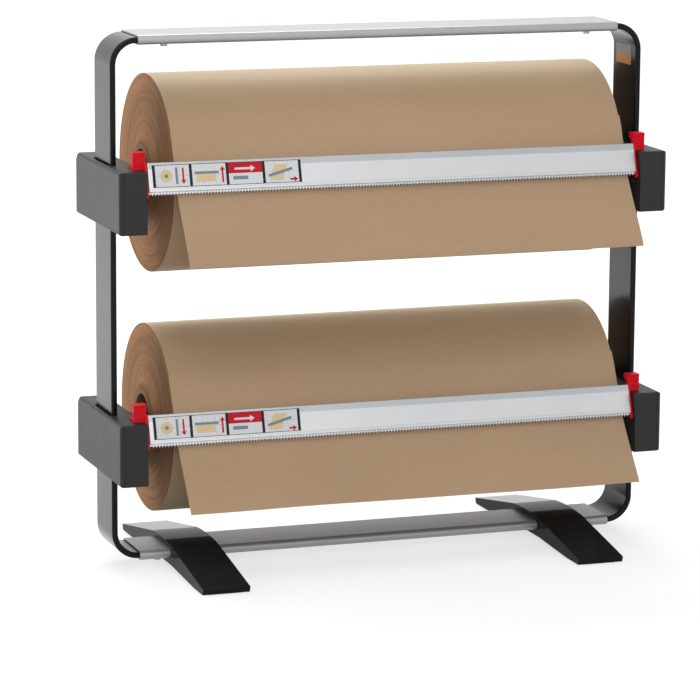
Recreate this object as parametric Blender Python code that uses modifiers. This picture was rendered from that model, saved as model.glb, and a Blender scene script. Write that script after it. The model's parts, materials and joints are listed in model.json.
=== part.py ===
"""Gift wrap dispenser for a counter top: two paper rolls, one above the other, in a metal frame.

Two C-shaped side frames of flat bar are joined by two hollow rails, and two feet carry the lower rail.
Four clamp blocks grip the side frames. Each pair holds one roll at the journals of its core plugs, and
one tear bar that swings on two pins. All lengths are in metres, X runs along the rolls, Y to the back
and Z up. The origin is on the floor, in the middle of the dispenser.
"""

import math

import bmesh
import bpy
from mathutils import Matrix, Vector

# Gaps and cuts
seat_gap = 0.0003
cut_overrun = 0.002
weld_distance = 0.00001
flat_tolerance = 0.00002
sharp_angle = math.radians(30)
corner_steps = 3

# Side frames, bent from flat bar
frame_width = 0.591
flat_width = 0.0612
flat_thickness = 0.0064
flat_edge_round = 0.0012
bend_radius = 0.029
tongue_grip = 0.042
bend_steps = 8

# Rails, hollow flat extrusions with rounded noses
rail_end_gap = 0.0005
rail_depth = 0.068
rail_thickness = 0.010
rail_top_height = 0.564
rail_clearance = 0.012
rail_groove_inset = 0.0055
rail_groove_width = 0.0012
rail_groove_depth = 0.0006
rail_nose_steps = 6

# Screws: one pattern for the rails and feet, one for the clamp blocks
screw_sides = 10
rail_screw_diameter = 0.004
rail_screw_head = 0.0075
rail_screw_head_height = 0.0026
rail_screw_spread = 0.040
top_screw_inset = 0.031
bottom_screw_inset = 0.022
block_screw_diameter = 0.0036
block_screw_head = 0.0068
block_screw_head_height = 0.003
block_screw_inset = 0.022

# Feet
foot_inset = 0.058
foot_width = 0.051
foot_length = 0.304
foot_toe_height = 0.0072
foot_shoulder_height = 0.0264
foot_crown_length = 0.076
foot_crown_rise = 0.0017
foot_arch_rise = 0.0052
foot_heel_length = 0.034
foot_toe_undercut = 0.0022
foot_edge_round = 0.0012
foot_ground_gap = 0.0009
foot_counterbore_depth = 0.0032
pad_length = 0.022
pad_width = 0.040
pad_thickness = 0.0015
pad_toe_margin = 0.005
pad_corner = 0.003

# Clamp blocks
roll_gap_shares = {"upper": 0.3064, "lower": 0.2263}
block_inner_wall = 0.017
block_outer_wall = 0.0069
block_front = -0.088
block_length = 0.170
block_height = 0.065
block_corner = 0.0022
block_rear_chamfer = 0.006
block_edge_round = 0.0009
cover_thickness = 0.0046
cover_edge_round = 0.0036
cover_round_steps = 3
cover_boss_diameter = 0.0092
cover_boss_length = 0.0052
cover_hole_floor = 0.0014

# Roll seats, core plugs and rolls
journal_diameter = 0.012
seat_height_below_top = 0.019
seat_depth = 0.012
seat_lead_in = 0.0012
roll_axis_back = 0.040
journal_end_gap = 0.0006
plug_journal_length = 0.0665
plug_collar_diameter = 0.022
plug_collar_length = 0.004
plug_disc_thickness = 0.005
plug_skirt_length = 0.020
plug_skirt_wall = 0.003
plug_chamfer = 0.001
core_bore = 0.050
core_wall = 0.005
roll_gap_left = 0.0346
roll_gap_right = 0.0096
roll_diameters = {"upper": 0.209, "lower": 0.2006}
roll_steps = 72
core_steps = 32
plug_steps = 20

# Tear bars: a hollow extrusion with a slot for the toothed blade
bar_top_front = -0.0744
bar_top_rise = 0.0075
bar_tilt = math.radians(17)
bar_height = 0.0325
bar_front_height = 0.0304
bar_thickness = 0.0055
bar_band = 0.007
bar_band_lean = 0.0009
bar_rib_start = 0.0252
bar_rib_width = 0.0008
bar_rib_rise = 0.0003
bar_back_cut = 0.003
bar_cavity_start = 0.0066
bar_cavity_end = 0.0212
bar_cavity_front = 0.0015
bar_cavity_back = 0.0043
bar_slot_start = 0.0236
bar_slot_front = 0.0016
bar_edge_round = 0.0008
blade_thickness = 0.0008
blade_end_inset = 0.0015
blade_tip = 0.0343
tooth_pitch = 0.0033
tooth_height = 0.0033

# Levers and their pins
lever_width = 0.0141
lever_tab_inset = 0.0006
lever_front = -0.072
lever_rise = 0.018
lever_head_depth = 0.012
lever_head_height = 0.0055
lever_neck_depth = 0.0052
lever_neck_slope = 0.0025
lever_heel_depth = 0.0165
lever_heel_height = 0.0015
lever_heel_slope = 0.005
lever_top_gap = 0.0005
rib_pitch = 0.0024
rib_depth = 0.0007
rib_margin = 0.0018
pivot_below_top = 0.005
pivot_boss_radius = 0.004
pin_diameter = 0.003
pin_anchor = 0.011
pocket_wall = 0.0052
pocket_depth = 0.0112
pocket_length = 0.0203
end_plate_thickness = 0.0026
end_plate_margin = 0.001
end_plate_setback = 0.0014
end_plate_foot = 0.0042
spigot_length = 0.012

# Paper that hangs from each roll
sheet_thickness = 0.0007
sheet_bar_gap = 0.0024
sheet_wrap_angle = math.radians(9)
sheet_wrap_steps = 3
sheet_curve_steps = 8
sheet_straight_lead = 0.012
sheet_edge_reach = {"upper": 0.0325, "lower": 0.036}
sheet_edge_drop = {"upper": 0.096, "lower": 0.089}
sheet_curl_back = {"upper": 0.003, "lower": 0.008}
sheet_curl_lead = 0.013

# The two ends of the dispenser, as seen from the front
hands = (("left", -1), ("right", 1))

# Places worked out from the sizes
flat_outer = frame_width / 2
flat_inner = flat_outer - flat_thickness
cavity_width = flat_width + 2 * seat_gap
cavity_height = flat_thickness + 2 * seat_gap
rail_length = frame_width - 2 * (bend_radius + rail_end_gap)
rail_wall = (rail_thickness - cavity_height) / 2
tongue_end = rail_length / 2 - tongue_grip
top_rail_middle = rail_top_height - rail_thickness / 2
bottom_rail_middle = rail_clearance + rail_thickness / 2
foot_spacing = rail_length - 2 * foot_inset
block_inner_face = flat_inner - block_inner_wall
block_outer_face = flat_outer + block_outer_wall
block_back = block_front + block_length
chamfer_inset_share = 2 - math.sqrt(2)
cover_inner_face = block_outer_face - cover_thickness
body_outer_face = cover_inner_face - seat_gap
core_diameter = core_bore + 2 * core_wall
journal_end = block_inner_face + seat_depth - journal_end_gap
plug_face = journal_end - plug_journal_length
roll_length = 2 * block_inner_face - roll_gap_left - roll_gap_right
roll_offset = (roll_gap_left - roll_gap_right) / 2
bottom_rail_top = rail_clearance + rail_thickness
top_rail_bottom = rail_top_height - rail_thickness
free_height = top_rail_bottom - bottom_rail_top - sum(roll_diameters.values())
upper_roll_top = top_rail_bottom - free_height * roll_gap_shares["upper"]
lower_roll_bottom = bottom_rail_top + free_height * roll_gap_shares["lower"]
roll_axes = {
    "upper": upper_roll_top - roll_diameters["upper"] / 2,
    "lower": lower_roll_bottom + roll_diameters["lower"] / 2,
}
block_tops = {unit: axis + seat_height_below_top for unit, axis in roll_axes.items()}
pivot_back = lever_front + pivot_boss_radius
pocket_outer_face = flat_inner - seat_gap - pocket_wall
lever_outer_face = pocket_outer_face - seat_gap
lever_inner_face = lever_outer_face - lever_width
bar_half_length = lever_inner_face - seat_gap
blade_length = 2 * (bar_half_length - blade_end_inset)
bar_slot_back = bar_slot_front + blade_thickness + 2 * seat_gap

# Finishes: colour, roughness, metallic
black_satin = ((0.018, 0.018, 0.019, 1), 0.42, 0.6)
dark_plastic = ((0.045, 0.046, 0.048, 1), 0.62, 0.0)
aluminium = ((0.80, 0.81, 0.82, 1), 0.32, 1.0)
blade_steel = ((0.62, 0.63, 0.65, 1), 0.28, 1.0)
screw_steel = ((0.52, 0.53, 0.55, 1), 0.35, 1.0)
red_plastic = ((0.62, 0.012, 0.035, 1), 0.45, 0.0)
black_plastic = ((0.03, 0.03, 0.03, 1), 0.5, 0.0)
black_rubber = ((0.02, 0.02, 0.02, 1), 0.85, 0.0)
kraft_paper = ((0.50, 0.33, 0.18, 1), 0.8, 0.0)
core_board = ((0.36, 0.24, 0.14, 1), 0.85, 0.0)


def clear_scene():
    """Empty the scene and make the collections for the parts and for the cutters."""
    for thing in list(bpy.data.objects):
        bpy.data.objects.remove(thing, do_unlink=True)
    for old in list(bpy.data.collections):
        bpy.data.collections.remove(old)
    for name in ("gift_wrap_dispenser", "cutters"):
        bpy.context.scene.collection.children.link(bpy.data.collections.new(name))


def finish(piece, look):
    """Give a piece its own material."""
    colour, roughness, metallic = look
    material = bpy.data.materials.new(piece.name)
    material.use_nodes = True
    shader = material.node_tree.nodes["Principled BSDF"]
    shader.inputs["Base Color"].default_value = colour
    shader.inputs["Roughness"].default_value = roughness
    shader.inputs["Metallic"].default_value = metallic
    piece.data.materials.append(material)
    return piece


def add_piece(name, mesh, look=None):
    """Add a mesh as a part with its look, or as a cutter if it has none."""
    piece = bpy.data.objects.new(name, mesh)
    if look is None:
        bpy.data.collections["cutters"].objects.link(piece)
        piece.hide_render = True
        piece.display_type = "WIRE"
    else:
        bpy.data.collections["gift_wrap_dispenser"].objects.link(piece)
        finish(piece, look)
    return piece


def hang(piece, axle):
    """Parent a piece to the empty on its joint's axis, without moving it."""
    piece.parent = axle
    piece.location -= axle.location
    return piece


def axis_empty(name, back, height):
    """Empty on a joint's axis, in the middle of the dispenser."""
    empty = bpy.data.objects.new(name, None)
    empty.location = (0, back, height)
    bpy.data.collections["gift_wrap_dispenser"].objects.link(empty)
    return empty


def boolean(piece, tool, operation="DIFFERENCE"):
    """Cut a piece with a tool, or join the tool to it."""
    step = piece.modifiers.new(tool.name, "BOOLEAN")
    step.operation = operation
    step.solver = "EXACT"
    step.object = tool
    return piece


def cut_together(piece, tools):
    """Cut a piece with several tools in one step."""
    group = bpy.data.collections.new(f"{piece.name}_cuts")
    bpy.data.collections["cutters"].children.link(group)
    for tool in tools:
        bpy.data.collections["cutters"].objects.unlink(tool)
        group.objects.link(tool)
    step = piece.modifiers.new("cuts", "BOOLEAN")
    step.operation = "DIFFERENCE"
    step.solver = "EXACT"
    step.operand_type = "COLLECTION"
    step.collection = group
    return piece


def arc(centre, radius, start, end, steps):
    """Points of an arc in a flat outline, with angles in degrees."""
    points = []
    for step in range(steps + 1):
        angle = math.radians(start + (end - start) * step / steps)
        points.append((centre[0] + radius * math.cos(angle), centre[1] + radius * math.sin(angle)))
    return points


def rounded_box(low, high, radius):
    """Outline of a box with round corners, between two corner points."""
    corners = (
        ((high[0] - radius, high[1] - radius), 0),
        ((low[0] + radius, high[1] - radius), 90),
        ((low[0] + radius, low[1] + radius), 180),
        ((high[0] - radius, low[1] + radius), 270),
    )
    points = []
    for centre, start in corners:
        points += arc(centre, radius, start, start + 90, corner_steps)
    return points


def outline_mesh(name, outlines, low, high, along):
    """Mesh between two planes across an axis: the first outline is the edge, the rest are holes.

    Along X an outline is in Y and Z, along Y it is in X and Z, and along Z it is in X and Y.
    """
    curve = bpy.data.curves.new(name, "CURVE")
    curve.dimensions = "2D"
    curve.fill_mode = "BOTH"
    curve.extrude = (high - low) / 2
    for outline in outlines:
        spline = curve.splines.new("POLY")
        spline.points.add(len(outline) - 1)
        for point, place in zip(spline.points, outline):
            point.co = (place[0], place[1], 0, 1)
        spline.use_cyclic_u = True
    flat = bpy.data.objects.new(name, curve)
    bpy.context.scene.collection.objects.link(flat)
    mesh = bpy.data.meshes.new_from_object(flat.evaluated_get(bpy.context.evaluated_depsgraph_get()))
    mesh.name = name
    middle = (low + high) / 2
    turns = {
        "X": Matrix(((0, 0, 1, middle), (1, 0, 0, 0), (0, 1, 0, 0), (0, 0, 0, 1))),
        "Y": Matrix(((1, 0, 0, 0), (0, 0, -1, middle), (0, 1, 0, 0), (0, 0, 0, 1))),
        "Z": Matrix.Translation((0, 0, middle)),
    }
    mesh.transform(flat.matrix_world @ turns[along])
    bpy.data.objects.remove(flat, do_unlink=True)
    shape = bmesh.new()
    shape.from_mesh(mesh)
    bmesh.ops.remove_doubles(shape, verts=shape.verts, dist=weld_distance)
    bmesh.ops.recalc_face_normals(shape, faces=shape.faces)
    shape.to_mesh(mesh)
    shape.free()
    return mesh


def round_rims(mesh, axis, planes, radius, segments=2):
    """Round the sharp edges of a mesh that lie in planes across an axis."""
    index = "XYZ".index(axis)
    shape = bmesh.new()
    shape.from_mesh(mesh)
    edges = []
    for edge in shape.edges:
        places = [vertex.co[index] for vertex in edge.verts]
        in_plane = any(all(abs(place - plane) < flat_tolerance for place in places) for plane in planes)
        if in_plane and edge.calc_face_angle(0) > sharp_angle:
            edges.append(edge)
    bmesh.ops.bevel(shape, geom=edges, offset=radius, segments=segments, profile=0.5, affect="EDGES")
    shape.to_mesh(mesh)
    shape.free()
    return mesh


def box_mesh(name, low, high):
    """Mesh of a plain box between two corners."""
    size = Vector(high) - Vector(low)
    middle = (Vector(high) + Vector(low)) / 2
    shape = bmesh.new()
    bmesh.ops.create_cube(shape, size=1, matrix=Matrix.Translation(middle) @ Matrix.Diagonal((*size, 1)))
    mesh = bpy.data.meshes.new(name)
    shape.to_mesh(mesh)
    shape.free()
    return mesh


def turn_profile(name, profile, steps, closed=False):
    """Object turned about Z from (radius, height) points that run down its outer side."""
    mesh = bpy.data.meshes.new(name)
    edges = [(index, index + 1) for index in range(len(profile) - 1)]
    if closed:
        edges.append((len(profile) - 1, 0))
    mesh.from_pydata([(radius, 0, height) for radius, height in profile], edges, [])
    piece = bpy.data.objects.new(name, mesh)
    screw = piece.modifiers.new("turn", "SCREW")
    screw.axis = "Z"
    screw.steps = steps
    screw.render_steps = steps
    screw.use_merge_vertices = True
    screw.merge_threshold = weld_distance
    return piece


def turned_piece(name, profile, steps, place, look, closed=False):
    """Turned part at a placement, with its look."""
    piece = turn_profile(name, profile, steps, closed)
    bpy.data.collections["gift_wrap_dispenser"].objects.link(piece)
    piece.matrix_world = place
    return finish(piece, look)


def turned_copies(name, profile, steps, places):
    """Mesh for a cutter that holds one turned solid at each of several placements."""
    model = turn_profile(name, profile, steps)
    bpy.context.scene.collection.objects.link(model)
    turned = bpy.data.meshes.new_from_object(model.evaluated_get(bpy.context.evaluated_depsgraph_get()))
    bpy.data.objects.remove(model, do_unlink=True)
    shape = bmesh.new()
    for place in places:
        copy = turned.copy()
        copy.transform(place)
        shape.from_mesh(copy)
        bpy.data.meshes.remove(copy)
    mesh = bpy.data.meshes.new(name)
    shape.to_mesh(mesh)
    shape.free()
    return mesh


def across(side, along, back, height):
    """Placement that turns a Z axis to point outward along X, on one side."""
    return Matrix.Translation((side * along, back, height)) @ Matrix.Rotation(side * math.pi / 2, 4, "Y")


def upright(along, back, height):
    """Placement of an upright turned solid."""
    return Matrix.Translation((along, back, height))


def rod_profile(radius, low, high):
    """Profile of a plain rod between two heights."""
    return [(0, high), (radius, high), (radius, low), (0, low)]


def screw_profile(diameter, head, head_height, length):
    """Profile of a screw that points up, with its head's underside at zero."""
    return [
        (0, length),
        (diameter / 2, length),
        (diameter / 2, 0),
        (head / 2, 0),
        (head / 2, -head_height),
        (0, -head_height),
    ]


def side_span(side, inner, outer):
    """Low and high X of a piece that lies between two distances from the middle."""
    return (inner, outer) if side > 0 else (-outer, -inner)


def side_frame(name, side):
    """Flat bar bent to a C: an upright with a tongue at each end for the rails."""
    top = top_rail_middle + flat_thickness / 2
    bottom = bottom_rail_middle - flat_thickness / 2
    inner_radius = bend_radius - flat_thickness
    centre = flat_outer - bend_radius
    outline = [(tongue_end, top)]
    outline += arc((centre, top - bend_radius), bend_radius, 90, 0, bend_steps)
    outline += arc((centre, bottom + bend_radius), bend_radius, 0, -90, bend_steps)
    outline += [(tongue_end, bottom), (tongue_end, bottom + flat_thickness)]
    outline += arc((centre, bottom + bend_radius), inner_radius, -90, 0, bend_steps)
    outline += arc((centre, top - bend_radius), inner_radius, 0, 90, bend_steps)
    outline += [(tongue_end, top - flat_thickness)]
    outline = [(side * along, height) for along, height in outline]
    rims = (-flat_width / 2, flat_width / 2)
    mesh = outline_mesh(name, [outline], rims[0], rims[1], "Y")
    round_rims(mesh, "Y", rims, flat_edge_round)
    piece = add_piece(name, mesh, black_satin)
    ends = (("top", top_rail_middle, top_screw_inset), ("bottom", bottom_rail_middle, bottom_screw_inset))
    for end, level, inset in ends:
        boolean(piece, rail_screw_holes(f"{name}_{end}_holes", side, level, inset))
    return piece


def rail_screw_places(side, inset):
    """X and Y of the two screws at one end of a rail."""
    along = side * (rail_length / 2 - inset)
    return [(along, back) for back in (-rail_screw_spread / 2, rail_screw_spread / 2)]


def rail_screw_holes(name, side, level, inset):
    """Cutter for the screws at one rail end, through the lower wall and the tongue."""
    radius = rail_screw_diameter / 2 + seat_gap
    low = level - rail_thickness / 2 - cut_overrun
    high = level + cavity_height / 2 - seat_gap / 2
    places = [upright(along, back, 0) for along, back in rail_screw_places(side, inset)]
    return add_piece(name, turned_copies(name, rod_profile(radius, low, high), screw_sides, places))


def nose_outline(level, depth, thickness, groove=False):
    """Outline across a rail: flat faces between two half-round noses, with grooves if asked."""
    radius = thickness / 2
    centre = depth / 2 - radius
    points = []
    for end, start in ((1, -90), (-1, 90)):
        if groove:
            points += rail_groove(level, depth, thickness, -end, end)
        points += arc((end * centre, level), radius, start, start + 180, rail_nose_steps)
        if groove:
            points += rail_groove(level, depth, thickness, end, end)
    return points


def rail_groove(level, depth, thickness, face, end):
    """Four points of the groove beside a nose, on the upper (1) or lower (-1) face."""
    near = end * (depth / 2 - rail_groove_inset)
    far = near - end * rail_groove_width
    surface = level + face * thickness / 2
    floor = surface - face * rail_groove_depth
    points = [(near, surface), (near, floor), (far, floor), (far, surface)]
    return points if face == end else points[::-1]


def rail(name, level, inset):
    """Hollow rail with its screw holes in the lower wall."""
    outline = nose_outline(level, rail_depth, rail_thickness, groove=True)
    low = (-cavity_width / 2, level - cavity_height / 2)
    high = (cavity_width / 2, level + cavity_height / 2)
    cavity = rounded_box(low, high, flat_edge_round)
    mesh = outline_mesh(name, [outline, cavity], -rail_length / 2, rail_length / 2, "X")
    piece = add_piece(name, mesh, aluminium)
    for side in (-1, 1):
        boolean(piece, rail_screw_holes(f"{name}_screw_holes_{side}", side, level, inset))
    return piece


def rail_screws(name, level, inset):
    """Four screws that hold the tongues of both side frames in one rail."""
    head_seat = level - rail_thickness / 2 - seat_gap
    length = rail_wall + cavity_height
    profile = screw_profile(rail_screw_diameter, rail_screw_head, rail_screw_head_height, length)
    for hand, side in hands:
        for end, (along, back) in zip(("front", "rear"), rail_screw_places(side, inset)):
            place = upright(along, back, head_seat)
            turned_piece(f"{name}_{hand}_{end}", profile, screw_sides, place, screw_steel)


def foot_outline():
    """Outline of a foot from the side: toes on the floor, a low arch below and a crown above."""
    toe = foot_length / 2
    sole = toe - foot_toe_undercut
    heel = toe - foot_heel_length
    shoulder = foot_crown_length / 2
    radius = (shoulder ** 2 + foot_crown_rise ** 2) / (2 * foot_crown_rise)
    spread = math.degrees(math.asin(shoulder / radius))
    centre = foot_shoulder_height + foot_crown_rise - radius
    points = [(-toe, foot_toe_height), (-sole, foot_ground_gap), (-heel, foot_ground_gap)]
    points += [(-shoulder, foot_arch_rise), (shoulder, foot_arch_rise)]
    points += [(heel, foot_ground_gap), (sole, foot_ground_gap), (toe, foot_toe_height)]
    points += arc((0, centre), radius, 90 - spread, 90 + spread, 2 * corner_steps)
    return points


def pad_corners(side, end):
    """Opposite corners, in X and Y, of the pad under one toe."""
    middle = side * foot_spacing / 2
    near = foot_length / 2 - pad_toe_margin
    backs = sorted((end * near, end * (near - pad_length)))
    return (middle - pad_width / 2, backs[0]), (middle + pad_width / 2, backs[1])


def foot(name, side):
    """Arched foot with a channel for the lower rail, a screw hole and pad recesses."""
    low, high = side_span(side, (foot_spacing - foot_width) / 2, (foot_spacing + foot_width) / 2)
    channel_depth = rail_depth + 2 * seat_gap
    channel = nose_outline(bottom_rail_middle, channel_depth, rail_thickness + 2 * seat_gap)
    mesh = outline_mesh(name, [foot_outline(), channel], low, high, "X")
    round_rims(mesh, "X", (low, high), foot_edge_round, segments=1)
    piece = add_piece(name, mesh, black_satin)
    bore = rail_screw_diameter / 2 + seat_gap
    head = rail_screw_head / 2 + seat_gap
    ledge = foot_arch_rise + foot_counterbore_depth
    profile = [(0, rail_clearance + cut_overrun), (bore, rail_clearance + cut_overrun), (bore, ledge),
               (head, ledge), (head, foot_arch_rise - cut_overrun), (0, foot_arch_rise - cut_overrun)]
    places = [upright(side * foot_spacing / 2, 0, 0)]
    boolean(piece, add_piece(f"{name}_screw_hole", turned_copies(name, profile, screw_sides, places)))
    for end in (-1, 1):
        corners = pad_corners(side, end)
        grown_low = [place - seat_gap for place in corners[0]]
        grown_high = [place + seat_gap for place in corners[1]]
        outline = rounded_box(grown_low, grown_high, pad_corner)
        recess_name = f"{name}_recess_{end}"
        recess = outline_mesh(recess_name, [outline], -cut_overrun, pad_thickness + seat_gap, "Z")
        boolean(piece, add_piece(recess_name, recess))
    return piece


def foot_screw(name, side):
    """Screw that holds one foot to the lower rail, from below."""
    head_seat = foot_arch_rise + foot_counterbore_depth - seat_gap
    length = rail_clearance + rail_wall + seat_gap - head_seat
    profile = screw_profile(rail_screw_diameter, rail_screw_head, rail_screw_head_height, length)
    place = upright(side * foot_spacing / 2, 0, head_seat)
    return turned_piece(name, profile, screw_sides, place, screw_steel)


def foot_screw_bores(name):
    """Cutter for the foot screws in the lower wall of the lower rail."""
    radius = rail_screw_diameter / 2 + seat_gap
    profile = rod_profile(radius, rail_clearance - cut_overrun, rail_clearance + rail_wall + cut_overrun)
    places = [upright(side * foot_spacing / 2, 0, 0) for hand, side in hands]
    return add_piece(name, turned_copies(name, profile, screw_sides, places))


def foot_pad(name, side, end):
    """Rubber pad under one toe."""
    low, high = pad_corners(side, end)
    mesh = outline_mesh(name, [rounded_box(low, high, pad_corner)], 0, pad_thickness, "Z")
    return add_piece(name, mesh, black_rubber)


def block_outline(top, inset=0):
    """Outline of a clamp block from the side, with its upper rear corner cut off."""
    upper = top - inset
    lower = top - block_height + inset
    front = block_front + inset
    back = block_back - inset
    corner = max(block_corner - inset, 0)
    chamfer = block_rear_chamfer - inset * chamfer_inset_share
    points = arc((front + corner, lower + corner), corner, 180, 270, corner_steps)
    points += arc((back - corner, lower + corner), corner, 270, 360, corner_steps)
    points += [(back, upper - chamfer), (back - chamfer, upper)]
    points += arc((front + corner, upper - corner), corner, 90, 180, corner_steps)
    return points


def cover_plate(name, side, top):
    """Mesh of a cover's plate, whose outer rim is a quarter round all the way about."""
    plane = block_outer_face - cover_edge_round
    rings = [(cover_inner_face, 0)]
    for step in range(cover_round_steps + 1):
        angle = math.pi / 2 * step / cover_round_steps
        inset = cover_edge_round * (1 - math.cos(angle))
        rings.append((plane + cover_edge_round * math.sin(angle), inset))
    shape = bmesh.new()
    rows = []
    for along, inset in rings:
        outline = block_outline(top, inset)
        rows.append([shape.verts.new((side * along, back, height)) for back, height in outline])
    for near, far in zip(rows, rows[1:]):
        for index in range(len(near)):
            after = (index + 1) % len(near)
            shape.faces.new((near[index], near[after], far[after], far[index]))
    shape.faces.new(rows[0])
    shape.faces.new(rows[-1])
    bmesh.ops.remove_doubles(shape, verts=shape.verts, dist=weld_distance)
    bmesh.ops.recalc_face_normals(shape, faces=shape.faces)
    mesh = bpy.data.meshes.new(name)
    shape.to_mesh(mesh)
    shape.free()
    return mesh


def block_screw_places(side, along, top):
    """Placements of the two clamp screws of one block, at a distance from the middle."""
    height = top - block_height / 2
    backs = (block_front + block_screw_inset, block_back - block_screw_inset)
    return [across(side, along, back, height) for back in backs]


def roll_seat(name, side, top):
    """Cutter for the open seat of a journal, with a wider mouth at the top."""
    radius = journal_diameter / 2 + seat_gap
    axis = top - seat_height_below_top
    outline = arc((roll_axis_back, axis), radius, 180, 360, 3 * corner_steps)
    mouth = radius + seat_lead_in
    outline += [(roll_axis_back + radius, top - seat_lead_in), (roll_axis_back + mouth, top)]
    outline += [(roll_axis_back + mouth, top + cut_overrun), (roll_axis_back - mouth, top + cut_overrun)]
    outline += [(roll_axis_back - mouth, top), (roll_axis_back - radius, top - seat_lead_in)]
    low, high = side_span(side, block_inner_face - cut_overrun, block_inner_face + seat_depth)
    return add_piece(name, outline_mesh(name, [outline], low, high, "X"))


def lever_pocket(name, side, top):
    """Cutter for the pocket in which a lever swings, open at the top and on the inner face."""
    low, high = side_span(side, block_inner_face - cut_overrun, pocket_outer_face)
    front = lever_front - seat_gap
    back = front + pocket_length
    mesh = box_mesh(name, (low, front, top - pocket_depth), (high, back, top + cut_overrun))
    return add_piece(name, mesh)


def upright_channel(name, side, top):
    """Cutter for the channel that takes the upright and the rib of the cover."""
    low, high = side_span(side, flat_inner - seat_gap, body_outer_face + cut_overrun)
    half = flat_width / 2 + seat_gap
    bottom = top - block_height - cut_overrun
    return add_piece(name, box_mesh(name, (low, -half, bottom), (high, half, top + cut_overrun)))


def pin_bore(name, side, top):
    """Cutter for the blind bore that anchors a lever's pin."""
    length = pin_anchor + cut_overrun + seat_gap
    place = across(side, pocket_outer_face - cut_overrun, pivot_back, top - pivot_below_top)
    profile = rod_profile(pin_diameter / 2 + seat_gap, 0, length)
    return add_piece(name, turned_copies(name, profile, screw_sides, [place]))


def block_screw_bores(name, side, top):
    """Cutter for the head, shank and boss of each clamp screw."""
    head = block_screw_head / 2 + seat_gap
    shank = block_screw_diameter / 2 + seat_gap
    boss = cover_boss_diameter / 2 + seat_gap
    depth = body_outer_face - block_inner_face
    boss_floor = depth - cover_boss_length
    head_floor = block_screw_head_height + 2 * seat_gap
    profile = [
        (0, depth + cut_overrun),
        (boss, depth + cut_overrun),
        (boss, boss_floor),
        (shank, boss_floor),
        (shank, head_floor),
        (head, head_floor),
        (head, -cut_overrun),
        (0, -cut_overrun),
    ]
    places = block_screw_places(side, block_inner_face, top)
    return add_piece(name, turned_copies(name, profile, screw_sides, places))


def block_body(name, side, top):
    """Inner half of a clamp block, with the roll seat, lever pocket and upright channel."""
    low, high = side_span(side, block_inner_face, body_outer_face)
    mesh = outline_mesh(name, [block_outline(top)], low, high, "X")
    round_rims(mesh, "X", (side * block_inner_face,), block_edge_round)
    piece = add_piece(name, mesh, dark_plastic)
    cuts = (
        upright_channel(f"{name}_channel", side, top),
        roll_seat(f"{name}_seat", side, top),
        lever_pocket(f"{name}_pocket", side, top),
        pin_bore(f"{name}_pin_bore", side, top),
        block_screw_bores(f"{name}_screw_bores", side, top),
    )
    return cut_together(piece, cuts)


def block_cover(name, side, top):
    """Outer half of a clamp block: a plate with a rib that presses on the upright, and two bosses."""
    piece = add_piece(name, cover_plate(name, side, top), dark_plastic)
    low, high = side_span(side, flat_outer + seat_gap, cover_inner_face + cover_thickness / 2)
    half = flat_width / 2
    bottom = top - block_height + block_corner
    rib = box_mesh(f"{name}_rib", (low, -half, bottom), (high, half, top - block_corner))
    boolean(piece, add_piece(f"{name}_rib", rib), "UNION")
    boss_length = cover_boss_length + cover_thickness / 2
    profile = rod_profile(cover_boss_diameter / 2, -cover_boss_length, boss_length - cover_boss_length)
    places = block_screw_places(side, cover_inner_face, top)
    bosses = turned_copies(f"{name}_bosses", profile, screw_sides, places)
    boolean(piece, add_piece(f"{name}_bosses", bosses), "UNION")
    shank = block_screw_diameter / 2 + seat_gap
    hole = rod_profile(shank, -cover_boss_length - cut_overrun, cover_thickness - cover_hole_floor)
    holes = turned_copies(f"{name}_holes", hole, screw_sides, places)
    return boolean(piece, add_piece(f"{name}_holes", holes))


def block_screws(name, side, top):
    """Two screws that clamp a cover to its body, from the inner face."""
    seat = block_inner_face + block_screw_head_height + seat_gap
    end = block_outer_face - cover_hole_floor - seat_gap
    length = end - seat
    profile = screw_profile(block_screw_diameter, block_screw_head, block_screw_head_height, length)
    for place_name, place in zip(("front", "rear"), block_screw_places(side, seat, top)):
        turned_piece(f"{name}_{place_name}", profile, screw_sides, place, screw_steel)


def bar_point(top, down, behind):
    """Y and Z of a place on the tilted tear bar, from its front upper edge."""
    sine, cosine = math.sin(bar_tilt), math.cos(bar_tilt)
    back = bar_top_front - down * sine + behind * cosine
    return back, top + bar_top_rise - down * cosine - behind * sine


def tear_bar(name, top, axle):
    """Hollow extrusion with a leaning upper band, a low rib and a slot for the blade."""
    rib_end = bar_rib_start + bar_rib_width
    profile = [
        (0, bar_band_lean),
        (bar_band, 0),
        (bar_rib_start, 0),
        (bar_rib_start, -bar_rib_rise),
        (rib_end, -bar_rib_rise),
        (rib_end, 0),
        (bar_front_height, 0),
        (bar_front_height, bar_slot_front),
        (bar_slot_start, bar_slot_front),
        (bar_slot_start, bar_slot_back),
        (bar_height, bar_slot_back),
        (bar_height, bar_thickness - bar_edge_round),
        (bar_height - bar_edge_round, bar_thickness),
        (bar_back_cut, bar_thickness),
        (0, bar_thickness - bar_back_cut),
    ]
    cavity = [
        (bar_cavity_start, bar_cavity_front),
        (bar_cavity_end, bar_cavity_front),
        (bar_cavity_end, bar_cavity_back),
        (bar_cavity_start, bar_cavity_back),
    ]
    outlines = [[bar_point(top, down, behind) for down, behind in loop] for loop in (profile, cavity)]
    mesh = outline_mesh(name, outlines, -bar_half_length, bar_half_length, "X")
    return hang(add_piece(name, mesh, aluminium), axle)


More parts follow.
